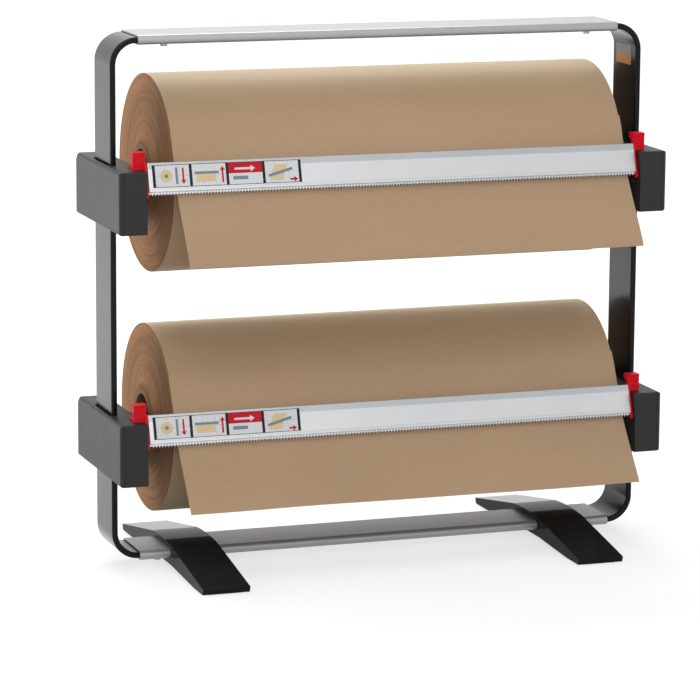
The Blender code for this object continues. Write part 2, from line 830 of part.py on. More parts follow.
def tear_blade(name, top, axle):
    """Steel strip in the bar's slot, with a row of pointed teeth along its lower edge."""
    count = int(blade_length / tooth_pitch)
    start = -blade_length / 2
    root = blade_tip - tooth_height
    upper_edge = bar_slot_start + seat_gap
    outline = [(start, -upper_edge), (start, -root)]
    for tooth in range(count):
        outline.append((start + (tooth + 0.5) * tooth_pitch, -blade_tip))
        outline.append((start + (tooth + 1) * tooth_pitch, -root))
    outline += [(-start, -root), (-start, -upper_edge)]
    front = bar_slot_front + seat_gap
    mesh = outline_mesh(name, [outline], front, front + blade_thickness, "Y")
    piece = add_piece(name, mesh, blade_steel)
    piece.location = (0, bar_top_front, top + bar_top_rise)
    piece.rotation_euler = (-bar_tilt, 0, 0)
    return hang(piece, axle)


def lever_outline(top):
    """Outline of a lever from the side: ribbed thumb tab above, round pivot end below."""
    pivot = top - pivot_below_top
    upper = top + lever_rise
    points = [(lever_front, upper)]
    count = int((lever_rise - 2 * rib_margin) / rib_pitch)
    for rib in range(count):
        height = upper - rib_margin - rib * rib_pitch
        points += [
            (lever_front, height),
            (lever_front + rib_depth, height - rib_pitch / 4),
            (lever_front + rib_depth, height - rib_pitch / 2),
            (lever_front, height - 3 * rib_pitch / 4),
        ]
    points += arc((pivot_back, pivot), pivot_boss_radius, 180, 360, 2 * corner_steps)
    heel_low = top + lever_top_gap
    heel_high = heel_low + lever_heel_height
    head_low = upper - lever_head_height
    points += [(pivot_back + pivot_boss_radius, heel_low), (lever_front + lever_heel_depth, heel_low)]
    points += [(lever_front + lever_heel_depth, heel_high)]
    points += [(lever_front + lever_neck_depth, heel_high + lever_heel_slope)]
    points += [(lever_front + lever_neck_depth, head_low - lever_neck_slope)]
    points += [(lever_front + lever_head_depth, head_low), (lever_front + lever_head_depth, upper)]
    return points


def end_plate_outline(top):
    """Outline of the plate that covers the bar's end and runs up to the pivot."""
    margin = end_plate_margin
    setback = end_plate_setback
    low_end = bar_height + end_plate_foot
    rear = bar_thickness + margin
    points = [bar_point(top, -margin, setback), bar_point(top, low_end - margin, setback)]
    points += [bar_point(top, low_end, setback + margin), bar_point(top, low_end, bar_thickness)]
    points += [bar_point(top, low_end - margin, rear), bar_point(top, bar_cavity_end, rear)]
    points += [(pivot_back + pivot_boss_radius, top - pivot_below_top)]
    points += [(pivot_back + pivot_boss_radius, top + lever_top_gap), bar_point(top, -margin, rear)]
    return points


def lever(name, side, top, axle):
    """Red lever at one end of a tear bar, with the spigot that the bar is pushed on to."""
    low, high = side_span(side, lever_inner_face + lever_tab_inset, lever_outer_face)
    piece = add_piece(name, outline_mesh(name, [lever_outline(top)], low, high, "X"), red_plastic)
    low, high = side_span(side, lever_inner_face, lever_inner_face + end_plate_thickness)
    plate = outline_mesh(f"{name}_plate", [end_plate_outline(top)], low, high, "X")
    boolean(piece, add_piece(f"{name}_plate", plate), "UNION")
    inset = seat_gap
    spigot = [
        bar_point(top, bar_cavity_start + inset, bar_cavity_front + inset),
        bar_point(top, bar_cavity_end - inset, bar_cavity_front + inset),
        bar_point(top, bar_cavity_end - inset, bar_cavity_back - inset),
        bar_point(top, bar_cavity_start + inset, bar_cavity_back - inset),
    ]
    root = lever_inner_face + end_plate_thickness / 2
    low, high = side_span(side, lever_inner_face - spigot_length, root)
    spigot_mesh = outline_mesh(f"{name}_spigot", [spigot], low, high, "X")
    boolean(piece, add_piece(f"{name}_spigot", spigot_mesh), "UNION")
    length = lever_width + 2 * cut_overrun
    bore = rod_profile(pin_diameter / 2 + seat_gap, 0, length)
    place = across(side, lever_inner_face - cut_overrun, pivot_back, top - pivot_below_top)
    boolean(piece, add_piece(f"{name}_bore", turned_copies(f"{name}_bore", bore, screw_sides, [place])))
    return hang(piece, axle)


def lever_pin(name, side, top):
    """Steel pin that is pressed into the block and carries the lever."""
    length = pocket_outer_face + pin_anchor - lever_inner_face - seat_gap
    place = across(side, lever_inner_face + seat_gap, pivot_back, top - pivot_below_top)
    return turned_piece(name, rod_profile(pin_diameter / 2, 0, length), screw_sides, place, screw_steel)


def core_plug(name, side, axle):
    """Plug in one end of the core: journal, collar, disc and a skirt that fits the bore."""
    skirt = core_bore / 2 - seat_gap
    journal = journal_diameter / 2
    collar = plug_collar_diameter / 2
    disc_back = -plug_disc_thickness
    skirt_end = disc_back - plug_skirt_length
    profile = [
        (0, plug_journal_length),
        (journal - plug_chamfer, plug_journal_length),
        (journal, plug_journal_length - plug_chamfer),
        (journal, plug_collar_length),
        (collar, plug_collar_length),
        (collar, 0),
        (skirt - plug_chamfer, 0),
        (skirt, -plug_chamfer),
        (skirt, skirt_end),
        (skirt - plug_skirt_wall, skirt_end),
        (skirt - plug_skirt_wall, disc_back),
        (0, disc_back),
    ]
    piece = turned_piece(name, profile, plug_steps, across(side, plug_face, 0, 0), black_plastic)
    piece.parent = axle
    return piece


def tube(name, outer, inner, steps, look, axle):
    """Tube about the roll's axis, as long as the roll."""
    half = roll_length / 2
    profile = [(outer, half), (outer, -half), (inner, -half), (inner, half)]
    piece = turned_piece(name, profile, steps, across(1, roll_offset, 0, 0), look, closed=True)
    piece.parent = axle
    return piece


def sheet_line(unit, top):
    """Middle line of the hanging paper, from the roll, behind the bar and down to its free edge."""
    axis = Vector((roll_axis_back, top - seat_height_below_top))
    radius = roll_diameters[unit] / 2 + seat_gap + sheet_thickness / 2
    pull = Vector(bar_point(top, bar_height, bar_thickness + sheet_bar_gap + sheet_thickness / 2))
    reach = pull - axis
    direction = math.atan2(reach.y, reach.x)
    leave = direction - math.acos(radius / reach.length)
    wrap_start = math.degrees(leave - sheet_wrap_angle)
    points = arc(axis, radius, wrap_start, math.degrees(leave), sheet_wrap_steps)
    run = (pull - Vector(points[-1])).normalized()
    knee = pull + run * sheet_straight_lead
    edge = Vector((block_front - sheet_edge_reach[unit], top - sheet_edge_drop[unit]))
    curl = edge + Vector((sheet_curl_back[unit], sheet_curl_lead))
    for step in range(sheet_curve_steps + 1):
        share = step / sheet_curve_steps
        middle = knee.lerp(curl, share)
        start = pull.lerp(knee, share).lerp(middle, share)
        end = middle.lerp(curl.lerp(edge, share), share)
        points.append(start.lerp(end, share))
    return [Vector(point) for point in points]


def paper_sheet(name, unit, top):
    """Length of paper drawn from the roll: it passes behind the tear bar and curls forward."""
    line = sheet_line(unit, top)
    front, rear = [], []
    for index, point in enumerate(line):
        ahead = line[min(index + 1, len(line) - 1)]
        behind = line[max(index - 1, 0)]
        run = (ahead - behind).normalized()
        offset = Vector((-run.y, run.x)) * sheet_thickness / 2
        front.append(tuple(point - offset))
        rear.append(tuple(point + offset))
    low = roll_offset - roll_length / 2
    mesh = outline_mesh(name, [front + rear[::-1]], low, low + roll_length, "X")
    return add_piece(name, mesh, kraft_paper)


def build_frame():
    """Side frames, rails, feet and their screws and pads."""
    rail("top_rail", top_rail_middle, top_screw_inset)
    bottom_rail = rail("bottom_rail", bottom_rail_middle, bottom_screw_inset)
    boolean(bottom_rail, foot_screw_bores("bottom_rail_foot_bores"))
    rail_screws("top_rail_screw", top_rail_middle, top_screw_inset)
    rail_screws("bottom_rail_screw", bottom_rail_middle, bottom_screw_inset)
    for hand, side in hands:
        side_frame(f"side_frame_{hand}", side)
        foot(f"foot_{hand}", side)
        foot_screw(f"foot_screw_{hand}", side)
        foot_pad(f"foot_pad_{hand}_front", side, -1)
        foot_pad(f"foot_pad_{hand}_rear", side, 1)


def build_unit(unit, top):
    """One roll with its pair of clamp blocks, tear bar, levers and hanging paper."""
    roll_axle = axis_empty(f"{unit}_roll_axis", roll_axis_back, top - seat_height_below_top)
    bar_axle = axis_empty(f"{unit}_bar_axis", pivot_back, top - pivot_below_top)
    for hand, side in hands:
        block_body(f"{unit}_block_body_{hand}", side, top)
        block_cover(f"{unit}_block_cover_{hand}", side, top)
        block_screws(f"{unit}_block_screw_{hand}", side, top)
        lever(f"{unit}_lever_{hand}", side, top, bar_axle)
        lever_pin(f"{unit}_lever_pin_{hand}", side, top)
        core_plug(f"{unit}_core_plug_{hand}", side, roll_axle)
    tear_bar(f"{unit}_tear_bar", top, bar_axle)
    tear_blade(f"{unit}_tear_blade", top, bar_axle)
    tube(f"{unit}_core", core_diameter / 2, core_bore / 2, core_steps, core_board, roll_axle)
    bore = core_diameter / 2 + seat_gap
    tube(f"{unit}_paper_roll", roll_diameters[unit] / 2, bore, roll_steps, kraft_paper, roll_axle)
    paper_sheet(f"{unit}_paper_sheet", unit, top)


def main():
    """Build the dispenser."""
    clear_scene()
    build_frame()
    for unit, top in block_tops.items():
        build_unit(unit, top)
    for piece in bpy.data.collections["gift_wrap_dispenser"].objects:
        if piece.type == "MESH":
            piece.data.shade_smooth()
            piece.data.set_sharp_from_angle(angle=sharp_angle)


main()
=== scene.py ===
"""Dressed scene of a gift wrap dispenser for a counter top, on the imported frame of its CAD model.

The solids come from the frame. This script gives them their surfaces: bent flat bar with a satin coat,
drawn rails, grained clamp blocks, ribbed levers, toothed tear blades, two wound rolls of ribbed kraft
paper and the length of paper that hangs from each. Lengths are in metres, with X along the rolls, Y to
the back and Z up.
"""

import json
import logging
import math
from dataclasses import dataclass
from enum import Enum
from typing import Iterable, Iterator, Optional, Sequence

import bmesh
import bpy
from mathutils import Matrix, Vector

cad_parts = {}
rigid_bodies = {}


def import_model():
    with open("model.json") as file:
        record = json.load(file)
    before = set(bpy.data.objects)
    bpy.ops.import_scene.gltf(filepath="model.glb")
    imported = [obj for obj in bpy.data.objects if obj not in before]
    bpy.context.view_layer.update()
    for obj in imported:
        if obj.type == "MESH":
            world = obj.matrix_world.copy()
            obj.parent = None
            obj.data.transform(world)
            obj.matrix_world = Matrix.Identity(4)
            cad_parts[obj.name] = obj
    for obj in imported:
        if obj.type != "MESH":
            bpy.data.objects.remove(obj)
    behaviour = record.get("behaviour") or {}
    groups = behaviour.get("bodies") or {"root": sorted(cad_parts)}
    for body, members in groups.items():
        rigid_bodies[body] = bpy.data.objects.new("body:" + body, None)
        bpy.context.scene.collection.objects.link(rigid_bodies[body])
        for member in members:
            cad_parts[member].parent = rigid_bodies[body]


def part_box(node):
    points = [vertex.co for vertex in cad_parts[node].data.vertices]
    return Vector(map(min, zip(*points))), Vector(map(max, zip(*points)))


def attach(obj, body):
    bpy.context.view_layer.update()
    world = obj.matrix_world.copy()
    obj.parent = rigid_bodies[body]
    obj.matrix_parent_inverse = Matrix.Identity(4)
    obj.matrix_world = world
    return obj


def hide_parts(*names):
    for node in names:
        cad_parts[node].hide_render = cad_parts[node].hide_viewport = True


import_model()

log = logging.getLogger("gift_wrap_dispenser")

Mesh = bpy.types.Mesh
Material = bpy.types.Material
Socket = bpy.types.NodeSocket
Point = tuple[float, float]
Corner = tuple[float, float, float]
Outline = list[Point]

GAP = 0.0003
OVERRUN = 0.002
WELD = 0.000004
ON_PLANE = 0.00002
FLAT = math.radians(0.05)
FOLD = math.radians(30)
BLOCK_SCREW_BACKS = (-0.066, 0.060)
BLOCK_SCREW_DROP = 0.0325
DEPTH_WORDS = ("front", "rear")


class Hand(Enum):
    """The two ends of the dispenser, as seen from the front."""

    LEFT = -1
    RIGHT = 1

    @property
    def word(self) -> str:
        """Word for this end in a node's name."""
        return self.name.lower()

    def span(self, inner: float, outer: float) -> Point:
        """Low and high X between two distances from the middle."""
        return (inner, outer) if self is Hand.RIGHT else (-outer, -inner)

    def outward(self, along: float, back: float, height: float) -> Matrix:
        """Placement that turns Z to point outwards along X, at a distance from the middle."""
        turn = Matrix.Rotation(self.value * math.pi / 2, 4, "Y")
        return Matrix.Translation((self.value * along, back, height)) @ turn


class Axis(Enum):
    """Axis that an outline is drawn out along."""

    X = 0
    Z = 2


@dataclass(frozen=True)
class TierPlace:
    """Places and sizes of what belongs to one roll."""

    block_top: float
    roll_radius: float
    sheet_edge: Point
    sheet_curl: Point
    seed: int
    roll_back: float = 0.040
    roll_drop: float = 0.019
    roll_offset: float = 0.0125

    @property
    def axis(self) -> float:
        """Height of the roll's axis."""
        return self.block_top - self.roll_drop


class Tier(Enum):
    """The two rolls, one above the other."""

    UPPER = TierPlace(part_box("upper_block_body_left")[1][2], 0.1045, (-0.0325, -0.096), (0.003, 0.013), 3)
    LOWER = TierPlace(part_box("lower_block_body_left")[1][2], 0.1003, (-0.036, -0.089), (0.008, 0.013), 8)

    @property
    def word(self) -> str:
        """Word for this roll in a node's name."""
        return self.name.lower()


# Outlines and meshes


def arc(centre: Point, radius: float, start: float, end: float, steps: int) -> Outline:
    """Points of an arc.

    Args:
        centre: Middle of the arc.
        radius: Its radius.
        start: First angle in degrees.
        end: Last angle in degrees.
        steps: Number of straight pieces.

    Returns:
        The points, both ends included.
    """
    angles = [math.radians(start + (end - start) * step / steps) for step in range(steps + 1)]
    return [(centre[0] + radius * math.cos(turn), centre[1] + radius * math.sin(turn)) for turn in angles]


def rounded(corners: Sequence[Corner], steps: int = 4) -> Outline:
    """Closed outline with its corners rounded.

    Args:
        corners: Places of the corners, each with the radius of its rounding.
        steps: Number of straight pieces in each rounding.

    Returns:
        The points of the outline.
    """
    points: Outline = []
    for index, (first, second, radius) in enumerate(corners):
        if radius <= 0:
            points.append((first, second))
            continue
        here = Vector((first, second))
        back = Vector(corners[index - 1][:2]) - here
        ahead = Vector(corners[(index + 1) % len(corners)][:2]) - here
        half = back.angle(ahead) / 2
        reach = min(radius / math.tan(half), min(back.length, ahead.length) * 0.49)
        bow = reach * math.tan(half)
        centre = here + (back.normalized() + ahead.normalized()).normalized() * bow / math.sin(half)
        start, end = (here + side.normalized() * reach - centre for side in (back, ahead))
        turn = math.atan2(start.y, start.x)
        sweep = math.atan2(end.y, end.x) - turn
        sweep -= round(sweep / math.tau) * math.tau
        points += arc(tuple(centre), bow, math.degrees(turn), math.degrees(turn + sweep), steps)
    return points


def box_outline(low: Point, high: Point, radius: float = 0.0) -> Outline:
    """Outline of a rectangle between two corners, rounded if a radius is given."""
    corners = ((low[0], low[1]), (high[0], low[1]), (high[0], high[1]), (low[0], high[1]))
    return rounded([(*corner, radius) for corner in corners])


def to_mesh(name: str, shape: bmesh.types.BMesh, weld: bool = True) -> Mesh:
    """Mesh of a closed shape with its faces outwards.

    Args:
        name: Name of the mesh.
        shape: The shape, which is freed.
        weld: True to merge points that lie together.

    Returns:
        The mesh.
    """
    if weld:
        bmesh.ops.remove_doubles(shape, verts=shape.verts, dist=WELD)
    bmesh.ops.recalc_face_normals(shape, faces=shape.faces)
    mesh = bpy.data.meshes.new(name)
    shape.to_mesh(mesh)
    shape.free()
    return mesh


def from_object(piece: bpy.types.Object) -> Mesh:
    """Plain mesh of an object with its modifiers applied; the object is removed.

    Args:
        piece: The object.

    Returns:
        The mesh.
    """
    mesh = bpy.data.meshes.new_from_object(piece.evaluated_get(bpy.context.evaluated_depsgraph_get()))
    bpy.data.objects.remove(piece, do_unlink=True)
    return mesh


def new_object(name: str, data: bpy.types.ID) -> bpy.types.Object:
    """Object in the scene with the given data.

    Args:
        name: Name of the object.
        data: Its mesh, curve, light or camera.

    Returns:
        The new object.
    """
    piece = bpy.data.objects.new(name, data)
    bpy.context.scene.collection.objects.link(piece)
    return piece


def prism(name: str, outlines: Sequence[Outline], low: float, high: float, axis: Axis = Axis.X,
          rims: Sequence[float] = (), rim: float = 0.0, segments: int = 3) -> Mesh:
    """Solid drawn out from an outline between two planes.

    Args:
        name: Name of the mesh.
        outlines: The edge first, then the holes, in Y and Z along X, and in X and Y along Z.
        low: Place of the first plane.
        high: Place of the second plane.
        axis: Axis that the outline is drawn out along.
        rims: Planes whose edges are rounded.
        rim: Radius of that rounding.
        segments: Number of faces across it.

    Returns:
        The closed mesh.
    """
    curve = bpy.data.curves.new(name, "CURVE")
    curve.dimensions, curve.fill_mode, curve.extrude = "2D", "BOTH", (high - low) / 2
    for outline in outlines:
        spline = curve.splines.new("POLY")
        spline.points.add(len(outline) - 1)
        spline.points.foreach_set("co", [value for place in outline for value in (*place, 0, 1)])
        spline.use_cyclic_u = True
    mesh = from_object(new_object(name, curve))
    middle = (low + high) / 2
    turns = {
        Axis.X: Matrix(((0, 0, 1, middle), (1, 0, 0, 0), (0, 1, 0, 0), (0, 0, 0, 1))),
        Axis.Z: Matrix.Translation((0, 0, middle)),
    }
    mesh.transform(turns[axis])
    shape = bmesh.new()
    shape.from_mesh(mesh)
    bmesh.ops.remove_doubles(shape, verts=shape.verts, dist=WELD)
    bmesh.ops.dissolve_limit(shape, angle_limit=FLAT, verts=shape.verts, edges=shape.edges)
    if rim > 0:
        edges = [
            edge for edge in shape.edges if edge.calc_face_angle(0) > FOLD
            and any(all(abs(vertex.co[axis.value] - plane) < ON_PLANE for vertex in edge.verts)
                    for plane in rims)
        ]
        bmesh.ops.bevel(shape, geom=edges, offset=rim, segments=segments, profile=0.5, affect="EDGES",
                        clamp_overlap=True)
    return to_mesh(name, shape)


def turned(name: str, profile: Sequence[Point], steps: int, place: Matrix = Matrix(),
           closed: bool = False) -> Mesh:
    """Solid turned about Z.

    Args:
        name: Name of the mesh.
        profile: Radius and height of each point, from pole to pole, or round a closed loop.
        steps: Number of faces round the axis.
        place: Placement of the result.
        closed: True where the profile is a loop that doesn't touch the axis.

    Returns:
        The closed mesh.
    """
    shape = bmesh.new()
    rings = []
    for radius, height in profile:
        turns = [math.tau * step / steps for step in range(1 if radius < WELD else steps)]
        rings.append([shape.verts.new((radius * math.cos(t), radius * math.sin(t), height)) for t in turns])
    pairs = list(zip(rings, rings[1:]))
    if closed:
        pairs.append((rings[-1], rings[0]))
    for first, second in pairs:
        for step in range(steps):
            ahead = (step + 1) % steps
            loop = dict.fromkeys([first[step % len(first)], second[step % len(second)],
                                  second[ahead % len(second)], first[ahead % len(first)]])
            if len(loop) > 2:
                shape.faces.new(list(loop))
    shape.transform(place)
    return to_mesh(name, shape, weld=False)


def lofted(name: str, rings: Sequence[Sequence[Corner]], weld: bool = True) -> Mesh:
    """Closed solid through a row of rings.

    Args:
        name: Name of the mesh.
        rings: The rings, with the same number of points in each.
        weld: True to merge points that lie together.

    Returns:
        The closed mesh.
    """
    shape = bmesh.new()
    rows = [[shape.verts.new(spot) for spot in ring] for ring in rings]
    for near, far in zip(rows, rows[1:]):
        for index in range(len(near)):
            ahead = (index + 1) % len(near)
            shape.faces.new((near[index], near[ahead], far[ahead], far[index]))
    shape.faces.new(rows[0])
    shape.faces.new(rows[-1][::-1])
    return to_mesh(name, shape, weld)


def merged(name: str, parts: Iterable[tuple[Mesh, Material]]) -> Mesh:
    """One mesh out of several.

    Args:
        name: Name of the mesh.
        parts: Each mesh with its material.

    Returns:
        The mesh with all materials.
    """
    shape = bmesh.new()
    materials: list[Material] = []
    for part, material in parts:
        first = len(shape.faces)
        shape.from_mesh(part)
        shape.faces.ensure_lookup_table()
        if material not in materials:
            materials.append(material)
        for face in shape.faces[first:]:
            face.material_index = materials.index(material)
    mesh = bpy.data.meshes.new(name)
    shape.to_mesh(mesh)
    shape.free()
    for material in materials:
        mesh.materials.append(material)
    return mesh


def carved(name: str, mesh: Mesh, cuts: Sequence[Mesh] = (), adds: Sequence[Mesh] = ()) -> Mesh:
    """Solid with others joined to it and then cut out of it.

    Args:
        name: Name of the result.
        mesh: The solid to start from.
        cuts: Solids to take away.
        adds: Solids to join on first.

    Returns:
        The closed mesh.
    """
    piece = new_object(name, mesh)
    groups = []
    for operation, solids in (("UNION", adds), ("DIFFERENCE", cuts)):
        if solids:
            groups.append(bpy.data.collections.new(f"{name}_{operation.lower()}"))
            bpy.context.scene.collection.children.link(groups[-1])
            for solid in solids:
                groups[-1].objects.link(bpy.data.objects.new(f"{name}_tool", solid))
            step = piece.modifiers.new(operation, "BOOLEAN")
            step.operation, step.solver, step.operand_type = operation, "EXACT", "COLLECTION"
            step.collection = groups[-1]
    result = from_object(piece)
    for group in groups:
        for tool in list(group.objects):
            bpy.data.objects.remove(tool, do_unlink=True)
        bpy.data.collections.remove(group)
    return result


def place_piece(name: str, mesh: Mesh, body: str, nodes: Sequence[str] = (),
                material: Optional[Material] = None, angle: float = 32.0) -> bpy.types.Object:
    """Smooth a finished piece, add it to the scene and hide the CAD nodes that it stands for.

    Args:
        name: Name of the piece.
        mesh: Its mesh, at its place.
        body: Body that it moves with.
        nodes: CAD nodes that it stands for.
        material: Its finish, where the mesh doesn't carry one.
        angle: Edges sharper than this many degrees stay sharp.

    Returns:
        The new object.
    """
    if material is not None:
        mesh.materials.clear()
        mesh.materials.append(material)
    mesh.shade_smooth()
    mesh.set_sharp_from_angle(angle=math.radians(angle))
    model = new_object(mesh.name, mesh)
    model.modifiers.new("normals", "WEIGHTED_NORMAL").keep_sharp = True
    mesh = from_object(model)
    mesh.name = name
    piece = new_object(name, mesh)
    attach(piece, body)
    if nodes:
        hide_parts(*nodes)
    log.info("%s: %d faces on %s", name, len(mesh.polygons), body)
    return piece


# Node trees


class Nodes:
    """Node tree that is built in the script."""

    def __init__(self, tree: bpy.types.NodeTree) -> None:
        """Keep the tree that the nodes go into."""
        self.tree = tree

    def fill(self, node: bpy.types.Node, inputs: dict[object, object]) -> None:
        """Give a node its inputs.

        Args:
            node: The node.
            inputs: For each name or number of an input, a socket to link from or a plain value.
        """
        for label, value in inputs.items():
            if isinstance(value, Socket):
                self.tree.links.new(value, node.inputs[label])
            else:
                node.inputs[label].default_value = value

    def node(self, kind: str, inputs: Optional[dict[object, object]] = None,
             **settings: object) -> bpy.types.Node:
        """Add a node.

        Args:
            kind: Its type.
            inputs: Its inputs, as fill takes them.
            settings: Its settings.

        Returns:
            The new node.
        """
        node = self.tree.nodes.new(kind)
        for label, value in settings.items():
            setattr(node, label, value)
        self.fill(node, inputs or {})
        return node

    def value(self, kind: str, inputs: Optional[dict[object, object]] = None, **settings: object) -> Socket:
        """First output of a new node."""
        return self.node(kind, inputs, **settings).outputs[0]

    def sums(self, operation: str, *values: object) -> Socket:
        """Math node on its values, each a socket or a number."""
        return self.value("ShaderNodeMath", dict(enumerate(values)), operation=operation)

    def parts(self, vector: Socket) -> Sequence[Socket]:
        """X, Y and Z of a vector."""
        return self.node("ShaderNodeSeparateXYZ", {0: vector}).outputs

    def radius(self, parts: Sequence[Socket]) -> Socket:
        """Distance from the X axis of a place that is given in its parts."""
        squares = [self.sums("MULTIPLY", parts[index], parts[index]) for index in (1, 2)]
        return self.sums("SQRT", self.sums("ADD", *squares))


class Tree(Nodes):
    """Geometry Nodes tree with named inputs."""

    def __init__(self, name: str, **sockets: str) -> None:
        """Make the tree and its group inputs.

        Args:
            name: Name of the tree.
            sockets: Socket type of each input after the geometry.
        """
        super().__init__(bpy.data.node_groups.new(name, "GeometryNodeTree"))
        face = self.tree.interface
        for label, kind in (("Geometry", "Geometry"), *sockets.items()):
            face.new_socket(label, in_out="INPUT", socket_type=f"NodeSocket{kind}")
        face.new_socket("Geometry", in_out="OUTPUT", socket_type="NodeSocketGeometry")
        self.inputs = self.node("NodeGroupInput").outputs

    def finish(self, geometry: Socket, *paints: dict[object, object]) -> None:
        """End the tree in Realize Instances and Set Material.

        Args:
            geometry: What the tree has made.
            paints: Inputs of each Set Material.
        """
        last = self.value("GeometryNodeRealizeInstances", {0: geometry})
        for paint in paints:
            last = self.value("GeometryNodeSetMaterial", {"Geometry": last, **paint})
        self.node("NodeGroupOutput", {0: last})

    def grow(self, mesh: Mesh, **values: object) -> Mesh:
        """Run the tree on a mesh.

        Args:
            mesh: The geometry that goes in.
            values: Value of each named input.

        Returns:
            The result as a plain mesh.
        """
        piece = new_object(self.tree.name, mesh)
        step = piece.modifiers.new("grow", "NODES")
        step.node_group = self.tree
        for item in self.tree.interface.items_tree:
            if item.in_out == "INPUT" and item.name in values:
                step[item.identifier] = values[item.name]
        return from_object(piece)


def row_tree() -> Tree:
    """Tree that repeats the incoming shape along a straight row.

    Returns:
        The tree, with the inputs Count, Step and Material.
    """
    tree = Tree("row", Count="Int", Step="Vector", Material="Material")
    given = tree.inputs
    line = tree.value("GeometryNodeMeshLine", {"Count": given["Count"], "Offset": given["Step"]},
                      mode="OFFSET")
    copies = tree.value("GeometryNodeInstanceOnPoints", {"Points": line, "Instance": given["Geometry"]})
    tree.finish(copies, {"Material": given["Material"]})
    return tree


def screw_tree() -> Tree:
    """Tree that sets one screw at each incoming point, turned by the point's own attribute.

    Returns:
        The tree, with the inputs Screw, Seed and Material.
    """
    tree = Tree("screws", Screw="Object", Seed="Int", Material="Material")
    given = tree.inputs
    model = tree.node("GeometryNodeObjectInfo", {"Object": given["Screw"]}).outputs["Geometry"]
    turn = tree.node("GeometryNodeInputNamedAttribute", {"Name": "turn"}, data_type="FLOAT_VECTOR")
    aim = tree.value("FunctionNodeEulerToRotation", {0: turn.outputs["Attribute"]})
    copies = tree.value("GeometryNodeInstanceOnPoints", {
        "Points": given["Geometry"], "Instance": model, "Rotation": aim,
    })
    chance = tree.node("FunctionNodeRandomValue", {3: math.tau, "Seed": given["Seed"]}, data_type="FLOAT")
    spin = tree.value("ShaderNodeCombineXYZ", {"Z": chance.outputs[1]})
    twist = tree.value("FunctionNodeEulerToRotation", {0: spin})
    tree.finish(tree.value("GeometryNodeRotateInstances", {"Instances": copies, "Rotation": twist}),
                {"Material": given["Material"]})
    return tree


def winding_tree() -> Tree:
    """Tree that shifts the end faces of a roll by small steps, as the turns of a wound web lie.

    Returns:
        The tree, with the inputs Axis, Depth, Turns, Eye, Reach, Rise, Seed, Side and Ends.
    """
    tree = Tree("winding", Axis="Vector", Depth="Float", Turns="Float", Eye="Float", Reach="Float",
                Rise="Float", Seed="Float", Side="Material", Ends="Material")
    given, sums = tree.inputs, tree.sums
    place = tree.value("GeometryNodeInputPosition")
    parts = tree.parts(tree.value("ShaderNodeVectorMath", {0: place, 1: given["Axis"]}, operation="SUBTRACT"))
    radius = tree.radius(parts)
    turn = sums("ADD", sums("MULTIPLY", radius, given["Turns"]), given["Seed"])
    noise = tree.value("ShaderNodeTexNoise", {"W": turn, "Scale": 1.0, "Detail": 3.0}, noise_dimensions="1D")
    inward = sums("MULTIPLY", sums("SIGN", parts[0]), sums("MULTIPLY", -1.0, given["Depth"]))
    near = tree.value("ShaderNodeMapRange", {
        "Value": radius, "From Min": given["Eye"], "From Max": given["Reach"], "To Min": 1.0, "To Max": 0.0,
    }, interpolation_type="SMOOTHSTEP")
    left = sums("LESS_THAN", parts[0], -0.01)
    eye = sums("MULTIPLY", sums("MULTIPLY", near, left), given["Rise"])
    shift = tree.value("ShaderNodeCombineXYZ", {"X": sums("SUBTRACT", sums("MULTIPLY", noise, inward), eye)})
    moved = tree.value("GeometryNodeSetPosition", {"Geometry": given["Geometry"], "Offset": shift})
    normal = tree.parts(tree.value("GeometryNodeInputNormal"))
    is_end = sums("GREATER_THAN", sums("ABSOLUTE", normal[0]), 0.5)
    tree.finish(moved, {"Material": given["Side"]}, {"Selection": is_end, "Material": given["Ends"]})
    return tree


# Finishes


class Graph(Nodes):
    """Shader nodes of one material, with a principled shader at the end."""

    def __init__(self, name: str) -> None:
        """Make the material with its shader and output.

        Args:
            name: Name of the material.
        """
        self.material = bpy.data.materials.new(name)
        self.material.use_nodes = True
        super().__init__(self.material.node_tree)

    def where(self, centre: Corner = (0, 0, 0), scale: Corner = (1, 1, 1)) -> Socket:
        """Object coordinates about a centre, stretched by a scale.

        Args:
            centre: Place that becomes the origin.
            scale: Scale along each axis.

        Returns:
            The coordinates.
        """
        place = self.node("ShaderNodeTexCoord").outputs["Object"]
        local = self.value("ShaderNodeVectorMath", {0: place, 1: centre}, operation="SUBTRACT")
        return self.value("ShaderNodeMapping", {"Vector": local, "Scale": scale})

    def noise(self, where: Socket, scale: float, detail: float, roughness: float = 0.5) -> Socket:
        """Soft noise at a number of grains for each metre.

        Args:
            where: Coordinates.
            scale: Number of grains for each metre.
            detail: Number of finer layers.
            roughness: Strength of the finer layers.

        Returns:
            The noise value.
        """
        return self.value("ShaderNodeTexNoise", {
            "Vector": where, "Scale": scale, "Detail": detail, "Roughness": roughness,
        })

    def spread(self, value: Socket, low: float, high: float, start: float = 0.3, end: float = 0.7) -> Socket:
        """Noise value spread from a low to a high number."""
        return self.value("ShaderNodeMapRange", dict(enumerate((value, start, end, low, high))))

    def shade(self, colour: Corner, *factors: Socket) -> Socket:
        """Colour times one or more grey factors.

        Args:
            colour: The colour.
            factors: The grey factors.

        Returns:
            The product.
        """
        product = factors[0]
        for factor in factors[1:]:
            product = self.sums("MULTIPLY", product, factor)
        return self.value("ShaderNodeVectorMath", {0: colour, "Scale": product}, operation="SCALE")


Surface = tuple[Socket, object, Socket]


